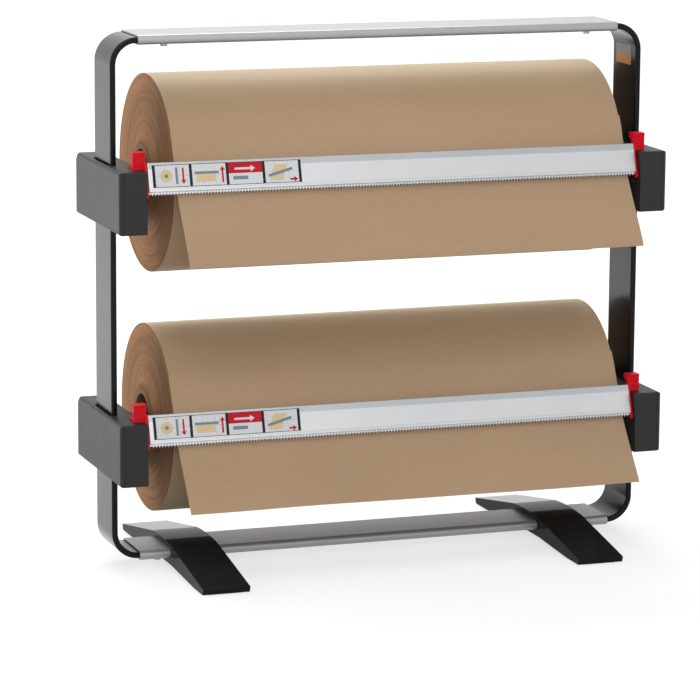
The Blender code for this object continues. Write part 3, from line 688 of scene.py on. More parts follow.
@dataclass(frozen=True)
class Finish:
    """Finish of a surface: name, colour in linear light, gloss, and the size and depth of its grain."""

    name: str
    tint: Corner
    gloss: Point
    metal: float = 0.0
    specular: float = 0.5
    grain: float = 900.0
    relief: float = 0.00002
    variation: float = 0.08
    lacquer: float = 0.0
    fuzz: float = 0.0

    def vary(self, graph: Graph, noise: Socket) -> Socket:
        """Grey factor that follows a noise."""
        return graph.spread(noise, 1 - self.variation, 1 + self.variation)

    def surface(self, graph: Graph) -> Surface:
        """Colour, roughness and height of this finish.

        Args:
            graph: Shader nodes to add to.

        Returns:
            The three values, as sockets or numbers.
        """
        where = graph.where()
        fine, broad = graph.noise(where, self.grain, 3), graph.noise(where, self.grain / 30, 2)
        colour = graph.shade(self.tint, self.vary(graph, broad), self.vary(graph, fine))
        return colour, graph.spread(broad, *self.gloss), fine

    def material(self) -> Material:
        """Material of this finish, made once.

        Returns:
            The material, with its uniform values on the shader's own sockets.
        """
        made = bpy.data.materials.get(self.name)
        if made is not None:
            return made
        graph = Graph(self.name)
        colour, roughness, height = self.surface(graph)
        normal = graph.value("ShaderNodeBump", {"Strength": 1.0, "Distance": self.relief, "Height": height})
        graph.fill(graph.tree.nodes["Principled BSDF"], {
            "Base Color": colour, "Roughness": roughness, "Normal": normal, "Metallic": self.metal,
            "Specular IOR Level": self.specular, "Coat Weight": self.lacquer, "Coat Roughness": 0.2,
            "Coat IOR": 1.2, "Sheen Weight": self.fuzz, "Sheen Roughness": 0.5,
            "Sheen Tint": (1.0, 0.88, 0.62, 1),
        })
        return graph.material


@dataclass(frozen=True)
class GrainedPlastic(Finish):
    """Moulded plastic with an eroded grain, as on housings."""

    def surface(self, graph: Graph) -> Surface:
        """Colour, roughness and height of this finish.

        Args:
            graph: Shader nodes to add to.

        Returns:
            The three values, as sockets or numbers.
        """
        where = graph.where()
        cells = graph.value("ShaderNodeTexVoronoi", {"Vector": where, "Scale": self.grain},
                            feature="SMOOTH_F1")
        broad = graph.noise(where, self.grain / 25, 3)
        height = graph.sums("ADD", cells, graph.noise(where, self.grain * 1.7, 2))
        return graph.shade(self.tint, self.vary(graph, broad)), graph.spread(broad, *self.gloss), height


@dataclass(frozen=True)
class DrawnMetal(Finish):
    """Extruded or ground metal, with fine lines along X."""

    stretch: float = 0.012

    def surface(self, graph: Graph) -> Surface:
        """Colour, roughness and height of this finish.

        Args:
            graph: Shader nodes to add to.

        Returns:
            The three values, as sockets or numbers.
        """
        lines = graph.noise(graph.where(scale=(self.stretch, 1, 1)), self.grain, 4, 0.65)
        cloud = graph.spread(graph.noise(graph.where(), 22.0, 2), 0.98, 1.02)
        colour = graph.shade(self.tint, self.vary(graph, lines), cloud)
        return colour, graph.spread(lines, *self.gloss), lines


@dataclass(frozen=True)
class RibbedKraft(Finish):
    """Kraft paper with fine ribs along its run, so at constant X, and a pulp of short fibres."""

    pitch: float = 0.0026
    contrast: float = 0.08

    def surface(self, graph: Graph) -> Surface:
        """Colour, roughness and height of this finish.

        Args:
            graph: Shader nodes to add to.

        Returns:
            The three values, as sockets or numbers.
        """
        where = graph.where()
        phase = graph.sums("MULTIPLY", graph.parts(where)[0], math.tau / self.pitch)
        sway = graph.spread(graph.noise(where, 9.0, 1), -0.6, 0.6)
        rib = graph.sums("MULTIPLY_ADD", graph.sums("SINE", graph.sums("ADD", phase, sway)), 0.5, 0.5)
        fibre = graph.noise(graph.where(scale=(1, 0.35, 0.35)), self.grain, 5, 0.7)
        cloud = graph.noise(graph.where(scale=(0.4, 1, 1)), 11.0, 3)
        colour = graph.shade(self.tint, graph.spread(rib, 1 - self.contrast, 1 + self.contrast, 0, 1),
                             self.vary(graph, fibre), graph.spread(cloud, 0.95, 1.05))
        height = graph.sums("ADD", rib, graph.sums("MULTIPLY", fibre, 0.35))
        return colour, graph.spread(fibre, *self.gloss), height


@dataclass(frozen=True)
class WoundEdge(Finish):
    """Edges of many turns of paper, seen on the end of a roll: streaks that follow the radius."""

    centre: Corner = (0, 0, 0)
    turns: float = 620.0
    lead: float = 0.0011
    contrast: float = 0.2
    # Radii between which painted shade darkens the turns towards the core hole.
    eye: Point = (0.031, 0.040)

    def surface(self, graph: Graph) -> Surface:
        """Colour, roughness and height of this finish.

        Args:
            graph: Shader nodes to add to.

        Returns:
            The three values, as sockets or numbers.
        """
        where = graph.where(centre=self.centre)
        parts = graph.parts(where)
        radius = graph.radius(parts)
        turn = graph.sums("ARCTAN2", parts[2], parts[1])
        spiral = graph.sums("MULTIPLY_ADD", turn, self.lead / math.tau, radius)
        streaks = self.streak(graph, spiral, turn, self.turns, 0.9)
        bands = self.streak(graph, spiral, turn, self.turns / 7, 0.35)
        low, high = 1 - self.contrast, 1 + self.contrast
        # The last factor is painted shade: the end grows darker towards the core hole.
        colour = graph.shade(
            self.tint, graph.spread(streaks, low, high), graph.spread(bands, low, high),
            self.vary(graph, graph.noise(where, self.grain, 3)), graph.spread(radius, 0.62, 1.0, *self.eye))
        height = graph.sums("ADD", streaks, graph.sums("MULTIPLY", bands, 1.5))
        return colour, graph.spread(streaks, *self.gloss), height

    def streak(self, graph: Graph, radius: Socket, turn: Socket, scale: float, sway: float) -> Socket:
        """Noise that runs along rings and fades in and out round the roll.

        Args:
            graph: Shader nodes to add to.
            radius: Distance from the roll's axis.
            turn: Angle round the axis.
            scale: Number of streaks for each metre of radius.
            sway: How fast they change round the roll.

        Returns:
            The noise value.
        """
        vector = {"X": graph.sums("MULTIPLY", radius, scale)}
        for label, operation in (("Y", "COSINE"), ("Z", "SINE")):
            vector[label] = graph.sums("MULTIPLY", graph.sums(operation, turn), sway)
        return graph.noise(graph.value("ShaderNodeCombineXYZ", vector), 1.0, 3, 0.6)


@dataclass(frozen=True)
class Print(Finish):
    """Printed film: one ink on a white ground, slightly uneven."""

    gloss: Point = (0.38, 0.38)
    specular: float = 0.15
    grain: float = 700.0
    relief: float = 0.000012
    variation: float = 0.06

    def surface(self, graph: Graph) -> Surface:
        """Colour, roughness and height of this finish.

        Args:
            graph: Shader nodes to add to.

        Returns:
            The three values, as sockets or numbers.
        """
        where = graph.where()
        colour = graph.shade(self.tint, self.vary(graph, graph.noise(where, self.grain, 3)))
        return colour, self.gloss[0], graph.noise(where, 260.0, 2)


COAT = Finish("coat_black_satin", (0.0045, 0.0045, 0.005), (0.20, 0.24), specular=0.07, grain=1300.0,
              relief=0.000008, variation=0.10, lacquer=0.8)
FOOT_COAT = Finish("foot_black_satin", (0.022, 0.022, 0.0225), (0.05, 0.07), specular=0.03, grain=1100.0,
                   relief=0.000002)
GRAIN = GrainedPlastic("block_grained_plastic", (0.009, 0.009, 0.0095), (0.46, 0.50), specular=0.34,
                       grain=1500.0, relief=0.00007, variation=0.06)
RED = Finish("lever_red_plastic", (0.78, 0.008, 0.022), (0.30, 0.42), specular=0.14, grain=500.0,
             relief=0.00003, variation=0.05)
DARK = Finish("plug_black_plastic", (0.014, 0.014, 0.014), (0.38, 0.5), specular=0.45, grain=700.0,
              relief=0.00003, variation=0.1)
RUBBER = Finish("pad_rubber", (0.016, 0.016, 0.016), (0.75, 0.9), specular=0.3, grain=800.0, relief=0.00006,
                variation=0.15)
SATIN = DrawnMetal("rail_satin_aluminium", (0.40, 0.405, 0.41), (0.34, 0.44), metal=0.45, grain=2200.0,
                   relief=0.000006, variation=0.03)
BAR = DrawnMetal("bar_satin_aluminium", (0.49, 0.50, 0.51), (0.36, 0.46), metal=1.0, grain=2400.0,
                 relief=0.000006, variation=0.025)
# Darker copy of the bar's aluminium, with slightly lower roughness: painted shade for the upper band, which
# leans back.
SHADED_BAND = DrawnMetal("bar_band_aluminium", (0.39, 0.41, 0.43), (0.30, 0.38), metal=1.0, grain=2400.0,
                  relief=0.000006, variation=0.025)
BLADE = DrawnMetal("blade_ground_steel", (0.52, 0.53, 0.54), (0.32, 0.42), metal=1.0, grain=3000.0,
                   relief=0.000005, variation=0.05)
ZINC = Finish("screw_zinc", (0.32, 0.32, 0.33), (0.28, 0.42), metal=1.0, relief=0.00001)
KRAFT = RibbedKraft("ribbed_kraft_paper", (0.485, 0.317, 0.189), (0.52, 0.66), specular=0.40, grain=1100.0,
                    relief=0.00005, variation=0.06, fuzz=1.0)
BOARD = Finish("core_board", (0.30, 0.18, 0.10), (0.7, 0.85), specular=0.12, grain=700.0, relief=0.00006,
               variation=0.15)


class Ink(Enum):
    """Inks of the label strip and the small sticker."""

    WHITE = Print("print_white", (0.80, 0.81, 0.82))
    LINE = Print("print_line", (0.50, 0.52, 0.54))
    RED = Print("print_red", (0.62, 0.010, 0.025))
    TAN = Print("print_tan", (0.80, 0.62, 0.36))
    SLATE = Print("print_slate", (0.21, 0.28, 0.35))
    BLACK = Print("print_black", (0.014, 0.014, 0.015))
    ORANGE = Print("print_orange", (0.50, 0.20, 0.045))
    GREY = Print("print_grey", (0.23, 0.23, 0.235))


# Frame


@dataclass
class SideFrames:
    """The two C-shaped uprights of flat bar, each with a tongue at both ends."""

    half_width: float = 0.2955
    width: float = 0.0612
    thickness: float = 0.0064
    bend: float = 0.029
    tongue_end: float = 0.224
    top: float = 0.559
    bottom: float = 0.017
    edge_round: float = 0.0021
    bend_steps: int = 28

    def path(self) -> list[tuple[Vector, Vector]]:
        """Middle line of the right bar.

        Returns:
            Places in X and Z, each with the direction to the outer face.
        """
        reach = self.bend - self.thickness / 2
        line = [(Vector((self.tongue_end, self.top)), Vector((0, 1)))]
        for height, start in ((self.top - reach, 90), (self.bottom + reach, 0)):
            for step in range(self.bend_steps + 1):
                turn = math.radians(start - 90 * step / self.bend_steps)
                out = Vector((math.cos(turn), math.sin(turn)))
                line.append((Vector((self.half_width - self.bend, height)) + out * reach, out))
        line.append((Vector((self.tongue_end, self.bottom)), Vector((0, -1))))
        return line

    def build(self) -> None:
        """Make both uprights in their black coat."""
        half = self.width / 2
        section = box_outline((-self.thickness / 2, -half), (self.thickness / 2, half), self.edge_round)
        for hand in Hand:
            rings = []
            for place, out in self.path():
                spots = [place + out * proud for proud, _ in section]
                rings.append([(hand.value * spot.x, back, spot.y) for spot, (_, back) in zip(spots, section)])
            node = f"side_frame_{hand.word}"
            place_piece(f"{node}_bar", lofted(node, rings), "frame", [node],
                        COAT.material(), 25)


@dataclass
class Rails:
    """The two hollow aluminium rails that take the tongues of the side frames."""

    length: float = 0.532
    depth: float = 0.068
    thickness: float = 0.010
    levels: Point = (0.559, 0.017)
    cavity: Point = (0.0618, 0.0070)
    cavity_round: float = 0.0022
    groove_inset: float = 0.0055
    groove_width: float = 0.0012
    groove_depth: float = 0.0007
    groove_slope: float = 0.0002
    nose_steps: int = 14
    end_round: float = 0.0003

    def section(self, level: float) -> Outline:
        """Outline across a rail, with a groove beside each nose on both faces.

        Args:
            level: Height of the rail's middle.

        Returns:
            The outline in Y and Z.
        """
        radius = self.thickness / 2
        near = self.depth / 2 - self.groove_inset
        far, slope = near - self.groove_width, self.groove_slope
        points: Outline = []
        for end, start in ((1, -90), (-1, 90)):
            for face in (-end, end):
                top = level + face * radius
                floor = top - face * self.groove_depth
                groove = [(end * far, top), (end * (far + slope), floor), (end * (near - slope), floor),
                          (end * near, top)]
                points += groove if face == -end else groove[::-1]
                if face == -end:
                    middle = (end * (self.depth / 2 - radius), level)
                    points += arc(middle, radius, start, start + 180, self.nose_steps)
        return points

    def build(self) -> None:
        """Make the two rails of satin aluminium."""
        half, (wide, high) = self.length / 2, self.cavity
        for name, level in zip(("top_rail", "bottom_rail"), self.levels):
            hollow = box_outline((-wide / 2, level - high / 2), (wide / 2, level + high / 2),
                                 self.cavity_round)
            mesh = prism(name, [self.section(level), hollow], -half, half, Axis.X, (-half, half),
                         self.end_round, 1)
            place_piece(f"{name}_extrusion", mesh, "frame", [name], SATIN.material())


@dataclass
class Feet:
    """The two arched feet that carry the lower rail, each with a rubber pad under both toes."""

    spacing: float = 0.416
    width: float = 0.051
    length: float = 0.304
    toe: float = 0.0072
    undercut: float = 0.0022
    shoulder_height: float = 0.0264
    crown_length: float = 0.076
    crown_rise: float = 0.0017
    arch: float = 0.0052
    heel: float = 0.034
    ground: float = 0.0009
    edge: float = 0.0016
    rail_level: float = 0.017
    rail_depth: float = 0.0686
    rail_thickness: float = 0.0106
    counterbore: Point = (0.00405, 0.0084)
    pad: Corner = (0.040, 0.022, 0.0015)
    pad_margin: float = 0.005
    pad_corner: float = 0.003

    def outline(self) -> Outline:
        """Outline of a foot from the side.

        Returns:
            The outline in Y and Z.
        """
        toe, shoulder = self.length / 2, self.crown_length / 2
        radius = (shoulder ** 2 + self.crown_rise ** 2) / (2 * self.crown_rise)
        spread = math.degrees(math.asin(shoulder / radius))
        centre = self.shoulder_height + self.crown_rise - radius
        ends = rounded([
            (-toe, self.toe, 0.0005), (-toe + self.undercut, self.ground, 0.0008),
            (-toe + self.heel, self.ground, 0.004), (-shoulder, self.arch, 0.02), (shoulder, self.arch, 0.02),
            (toe - self.heel, self.ground, 0.004), (toe - self.undercut, self.ground, 0.0008),
            (toe, self.toe, 0.0005), (shoulder, self.shoulder_height, 0),
        ], 5)
        return ends[:-1] + arc((0, centre), radius, 90 - spread, 90 + spread, 24)

    def channel(self) -> Outline:
        """Outline of the channel that takes the rail.

        Returns:
            The outline in Y and Z.
        """
        radius = self.rail_thickness / 2
        middle = self.rail_depth / 2 - radius
        return (arc((middle, self.rail_level), radius, -90, 90, 12)
                + arc((-middle, self.rail_level), radius, 90, 270, 12))

    def build(self) -> None:
        """Make both feet in black and their pads."""
        wide, deep, thick = self.pad
        radius, floor = self.counterbore
        bore = [(0, floor), (radius, floor), (radius, self.arch - OVERRUN), (0, self.arch - OVERRUN)]
        for hand in Hand:
            node, cuts = f"foot_{hand.word}", []
            middle = hand.value * self.spacing / 2
            for side, word in zip((-1, 1), DEPTH_WORDS):
                ends = sorted(side * (self.length / 2 - self.pad_margin - inset) for inset in (0, deep))
                outline = box_outline((middle - wide / 2, ends[0]), (middle + wide / 2, ends[1]),
                                      self.pad_corner)
                cuts.append(prism("recess", [outline], -OVERRUN, thick + GAP, Axis.Z))
                pad = prism("pad", [outline], 0, thick, Axis.Z, (0,), 0.0003, 2)
                name = f"foot_pad_{hand.word}_{word}"
                place_piece(f"{name}_rubber", pad, "frame", [name], RUBBER.material())
            cuts.append(turned("counterbore", bore, 24, Matrix.Translation((middle, 0, 0))))
            low, high = hand.span((self.spacing - self.width) / 2, (self.spacing + self.width) / 2)
            solid = prism(node, [self.outline(), self.channel()], low, high, Axis.X, (low, high), self.edge)
            place_piece(f"{node}_arch", carved(node, solid, cuts), "frame", [node],
                        FOOT_COAT.material(), 25)


@dataclass(frozen=True)
class ScrewSize:
    """Sizes of one kind of screw."""

    shank: float
    head: float
    head_height: float
    length: float
    socket: float
    edge: float = 0.0004

    def mesh(self, name: str) -> Mesh:
        """Screw that points up, with its head's underside at zero and a hexagon socket.

        Args:
            name: Name of the mesh.

        Returns:
            The closed mesh.
        """
        shank, head, key = self.shank / 2, self.head / 2, self.socket / 2
        bottom, edge = -self.head_height, self.edge
        profile = [(0, self.length), (shank - edge, self.length), (shank, self.length - edge), (shank, 0),
                   (head, 0), (head, bottom + edge), (head - edge, bottom), (0, bottom)]
        hollow = [(0, bottom * 0.4), (key, bottom * 0.4), (key, bottom - edge), (0, bottom - edge)]
        return carved(name, turned(name, profile, 24), [turned("socket", hollow, 6)])


@dataclass
class Screws:
    """All screws of the dispenser, set by one tree: rails, feet and clamp blocks."""

    rail: ScrewSize = ScrewSize(0.004, 0.0075, 0.0026, 0.0085, 0.0030)
    foot: ScrewSize = ScrewSize(0.004, 0.0075, 0.0026, 0.0054, 0.0030)
    block: ScrewSize = ScrewSize(0.0036, 0.0068, 0.0030, 0.0252, 0.0028)
    rail_ends: Point = (0.235, 0.244)
    rail_levels: Point = (0.554, 0.012)
    rail_backs: Point = (-0.020, 0.020)
    foot_place: Point = (0.208, 0.0081)
    block_seat: float = 0.2754

    def groups(self) -> Iterator[tuple[str, ScrewSize, dict[str, Matrix]]]:
        """Each group of screws.

        Returns:
            Its name, its size and the placement of the screw of each CAD node.
        """
        names = ("top_rail_screw", "bottom_rail_screw")
        for name, level, along in zip(names, self.rail_levels, self.rail_ends):
            yield f"{name}s", self.rail, {
                f"{name}_{hand.word}_{word}": Matrix.Translation((hand.value * along, back, level - GAP))
                for hand in Hand for word, back in zip(DEPTH_WORDS, self.rail_backs)}
        along, level = self.foot_place
        yield "foot_screws", self.foot, {
            f"foot_screw_{hand.word}": Matrix.Translation((hand.value * along, 0, level)) for hand in Hand}
        for tier in Tier:
            name, height = f"{tier.word}_block_screw", tier.value.block_top - BLOCK_SCREW_DROP
            yield f"{name}s", self.block, {
                f"{name}_{hand.word}_{word}": hand.outward(self.block_seat, back, height)
                for hand in Hand for word, back in zip(DEPTH_WORDS, BLOCK_SCREW_BACKS)}

    def build(self) -> None:
        """Set the screws of each group and make every group one plain mesh."""
        tree = screw_tree()
        for seed, (name, size, places) in enumerate(self.groups()):
            model = new_object(f"{name}_model", size.mesh(f"{name}_model"))
            points = bpy.data.meshes.new(f"{name}_places")
            points.from_pydata([tuple(place.translation) for place in places.values()], [], [])
            turns = points.attributes.new("turn", "FLOAT_VECTOR", "POINT")
            angles = [value for place in places.values() for value in place.to_euler()]
            turns.data.foreach_set("vector", angles)
            mesh = tree.grow(points, Screw=model, Seed=seed, Material=ZINC.material())
            bpy.data.objects.remove(model, do_unlink=True)
            place_piece(name, mesh, "frame", list(places))


@dataclass
class ClampBlocks:
    """The four clamp blocks: a body with the roll seat and lever pocket, and a cover outside it."""

    inner: float = 0.2721
    outer: float = 0.3024
    front: float = -0.088
    back: float = 0.082
    height: float = 0.065
    corner: float = 0.0022
    chamfer: float = 0.006
    chamfer_round: float = 0.0015
    cover: float = 0.0046
    inner_round: float = 0.0011
    outer_round: float = 0.0036
    round_steps: int = 7
    upright_half: float = 0.0309
    upright_inner: float = 0.2888
    seat_radius: float = 0.0063
    seat_depth: float = 0.012
    lead_in: float = 0.0012
    pocket: Point = (-0.0723, -0.052)
    pocket_depth: float = 0.0112
    pocket_outer: float = 0.2836
    head_radius: float = 0.0037
    head_depth: float = 0.0036
    rib_half: float = 0.0306
    rib_inset: float = 0.0022
    rib_start: float = 0.2958
    small_round: float = 0.0002

    def outline(self, top: float, inset: float = 0.0) -> Outline:
        """Outline of a block from the side.

        Args:
            top: Height of the block's top.
            inset: How far the outline is drawn in.

        Returns:
            The outline in Y and Z.
        """
        low, high = top - self.height + inset, top - inset
        front, back = self.front + inset, self.back - inset
        corner = max(self.corner - inset, self.small_round)
        chamfer = self.chamfer - inset * (2 - math.sqrt(2))
        bend = max(self.chamfer_round - inset * 0.4, 0.0003)
        return rounded([
            (front, low, corner), (back, low, corner), (back, high - chamfer, bend),
            (back - chamfer, high, bend), (front, high, corner),
        ], 6)

    def seat(self, hand: Hand, place: TierPlace) -> Mesh:
        """Cutter for the open seat of a journal.

        Args:
            hand: Which end.
            place: Places of the roll.

        Returns:
            The closed mesh.
        """
        top, back, near = place.block_top, place.roll_back, self.seat_radius
        mouth = near + self.lead_in
        points = arc((back, place.axis), near, 180, 360, 24)
        points += [(back + near, top - self.lead_in), (back + mouth, top), (back + mouth, top + OVERRUN),
                   (back - mouth, top + OVERRUN), (back - mouth, top), (back - near, top - self.lead_in)]
        return prism("seat", [points], *hand.span(self.inner - OVERRUN, self.inner + self.seat_depth))

    def body(self, hand: Hand, place: TierPlace) -> Mesh:
        """Body of one block with its seat, pocket, channel and screw bores.

        Args:
            hand: Which end.
            place: Places of the roll.

        Returns:
            The closed mesh.
        """
        top, radius, depth = place.block_top, self.head_radius, self.head_depth
        low, high = hand.span(self.inner, self.outer - self.cover - GAP)
        solid = prism("body", [self.outline(top)], low, high, Axis.X, (hand.value * self.inner,),
                      self.inner_round)
        front, back = self.pocket
        pocket = box_outline((front, top - self.pocket_depth), (back, top + OVERRUN), 0.0005)
        half = self.upright_half
        channel = box_outline((-half, top - self.height - OVERRUN), (half, top + OVERRUN))
        cuts = [self.seat(hand, place),
                prism("pocket", [pocket], *hand.span(self.inner - OVERRUN, self.pocket_outer)),
                prism("channel", [channel], *hand.span(self.upright_inner, self.outer))]
        for back in BLOCK_SCREW_BACKS:
            bore = [(0, depth), (radius, depth), (radius, -OVERRUN), (0, -OVERRUN)]
            cuts.append(turned("bore", bore, 24, hand.outward(self.inner, back, top - BLOCK_SCREW_DROP)))
        return carved("body", solid, cuts)

    def shell(self, hand: Hand, place: TierPlace) -> Mesh:
        """Cover of one block with the rib that presses on the upright.

        Args:
            hand: Which end.
            place: Places of the roll.

        Returns:
            The closed mesh.
        """
        top, seam, rings = place.block_top, self.outer - self.cover, []
        for step in range(-1, self.round_steps + 1):
            turn = math.pi / 2 * max(step, 0) / self.round_steps
            along = seam if step < 0 else self.outer - self.outer_round * (1 - math.sin(turn))
            outline = self.outline(top, self.outer_round * (1 - math.cos(turn)))
            rings.append([(hand.value * along, *spot) for spot in outline])
        rib = box_outline((-self.rib_half, top - self.height + self.rib_inset),
                          (self.rib_half, top - self.rib_inset), 0.0004)
        rib = prism("rib", [rib], *hand.span(self.rib_start, seam + self.cover / 2))
        return carved("plate", lofted("plate", rings), (), [rib])

    def build(self) -> None:
        """Make the four blocks of grained plastic."""
        for tier in Tier:
            for hand in Hand:
                for word, maker in (("body", self.body), ("cover", self.shell)):
                    node = f"{tier.word}_block_{word}_{hand.word}"
                    place_piece(f"{node}_moulding", maker(hand, tier.value), "frame", [node],
                                GRAIN.material(), 28)


# Tear bars and levers


def rod(radius: float, length: float, edge: float) -> Outline:
    """Profile of a rod from zero upwards, with broken edges."""
    return [(0, length), (radius - edge, length), (radius, length - edge), (radius, edge),
            (radius - edge, 0), (0, 0)]


@dataclass
class TearBar:
    """One tear bar with its blade, its two levers and the label strip on its left end."""

    tier: Tier
    half_length: float = 0.2689
    top_front: float = -0.0744
    rise: float = 0.0075
    tilt: float = math.radians(17)
    height: float = 0.0325
    front_height: float = 0.0304
    thickness: float = 0.0055
    band: float = 0.007
    lean: float = 0.0009
    rib: Corner = (0.0272, 0.0008, 0.0003)
    back_cut: float = 0.003
    cavity: tuple[float, float, float, float] = (0.0066, 0.0212, 0.0015, 0.0043)
    slot_start: float = 0.0236
    slot: Point = (0.0016, 0.0030)
    blade_length: float = 0.5348
    blade_thickness: float = 0.0008
    blade_tip: float = 0.0343
    pitch: float = 0.0033
    tooth: float = 0.0033
    tooth_root: float = 0.0002
    pin: Corner = (0.0015, 0.0251, 0.0003)
    pin_start: float = 0.2695

    @property
    def top(self) -> float:
        """Height of the block top beside this bar."""
        return self.tier.value.block_top

    @property
    def body(self) -> str:
        """Body that the bar belongs to."""
        return f"{self.tier.word}_bar"

    def spot(self, down: float, behind: float) -> Point:
        """Y and Z of a place on the tilted bar, from its front upper edge.

        Args:
            down: Distance down the bar's face.
            behind: Distance behind the face.

        Returns:
            Y and Z.
        """
        sine, cosine = math.sin(self.tilt), math.cos(self.tilt)
        return (self.top_front - down * sine + behind * cosine,
                self.top + self.rise - down * cosine - behind * sine)

    def outline(self, corners: Sequence[Corner]) -> Outline:
        """Rounded outline across the bar, from places down its face and behind it."""
        return [self.spot(*point) for point in rounded(corners)]

    def hollow(self, clear: float = 0.0) -> Outline:
        """Outline of the bar's hollow, drawn in by a clearance.

        Args:
            clear: The clearance.

        Returns:
            The outline in Y and Z.
        """
        upper, lower, near, far = self.cavity
        corners = box_outline((upper + clear, near + clear), (lower - clear, far - clear))
        return [self.spot(*point) for point in corners]

    def extrusion(self) -> Mesh:
        """Hollow bar with a low rib, a slot for the blade and a leaning upper band in a darker copy of the
        bar's finish, painted shade for its lean.

        Returns:
            The closed mesh in its two finishes.
        """
        (rib, width, proud), (near, far) = self.rib, self.slot
        profile = self.outline([
            (0, self.lean, 0.0008), (self.band, 0, 0.0006), (rib, 0, 0.0002), (rib, -proud, 0.0001),
            (rib + width, -proud, 0.0001), (rib + width, 0, 0.0002), (self.front_height, 0, 0.0005),
            (self.front_height, near, 0.0003), (self.slot_start, near, 0),
            (self.slot_start, far, 0), (self.height, far, 0.0003), (self.height, self.thickness, 0.0009),
            (self.back_cut, self.thickness, 0.0012), (0, self.thickness - self.back_cut, 0.0008),
        ])
        half = self.half_length
        mesh = prism("bar", [profile, self.hollow()], -half, half, Axis.X, (-half, half), 0.0002, 1)
        for finish in (BAR, SHADED_BAND):
            mesh.materials.append(finish.material())
        sine, cosine = math.sin(self.tilt), math.cos(self.tilt)
        for face in mesh.polygons:
            back, height = face.center.y - self.top_front, face.center.z - self.top - self.rise
            down, behind = -back * sine - height * cosine, back * cosine - height * sine
            # Faces of the leaning upper band take the darker copy: painted shade.
            face.material_index = int(down < self.band and behind < self.lean)
        return mesh

    def blade(self, tree: Tree) -> Mesh:
        """Blade with its row of teeth.

        Args:
            tree: Tree that repeats a shape along a row.

        Returns:
            The strip and all teeth as one mesh.
        """
        near, head, half = self.slot[0] + GAP, self.slot_start + GAP, self.blade_length / 2
        far, root = near + self.blade_thickness, self.blade_tip - self.tooth
        strip = [self.spot(*place) for place in box_outline((head, near), (root, far))]
        count = int(self.blade_length / self.pitch)
        outline = ((0.14, root - self.tooth_root), (0.5, self.blade_tip), (0.86, root - self.tooth_root))
        rings = [[(share * self.pitch - count * self.pitch / 2, *self.spot(down, behind))
                  for share, down in outline] for behind in (near, far)]
        steel = BLADE.material()
        teeth = tree.grow(lofted("tooth", rings), Count=count, Step=(self.pitch, 0, 0), Material=steel)
        return merged("blade", ((prism("strip", [strip], -half, half), steel), (teeth, steel)))

    def build(self, tree: Tree) -> None:
        """Make the bar, its blade, its levers and its label strip.

        Args:
            tree: Tree that repeats a shape along a row.
        """
        name = self.tier.word
        place_piece(f"{name}_bar_extrusion", self.extrusion(), self.body,
                    [f"{name}_tear_bar"], None, 12)
        place_piece(f"{name}_toothed_blade", self.blade(tree), self.body, [f"{name}_tear_blade"])
        for hand in Hand:
            lever, node = Lever(self, hand), f"{name}_lever_{hand.word}"
            place_piece(f"{node}_tab", lever.mesh(tree), self.body, [node])
            pin = turned("pin", rod(*self.pin), 24, lever.pivot(self.pin_start))
            place_piece(f"{name}_lever_pin_{hand.word}_steel", pin, "frame",
                        [f"{name}_lever_pin_{hand.word}"], ZINC.material())
        LabelStrip(self).build()


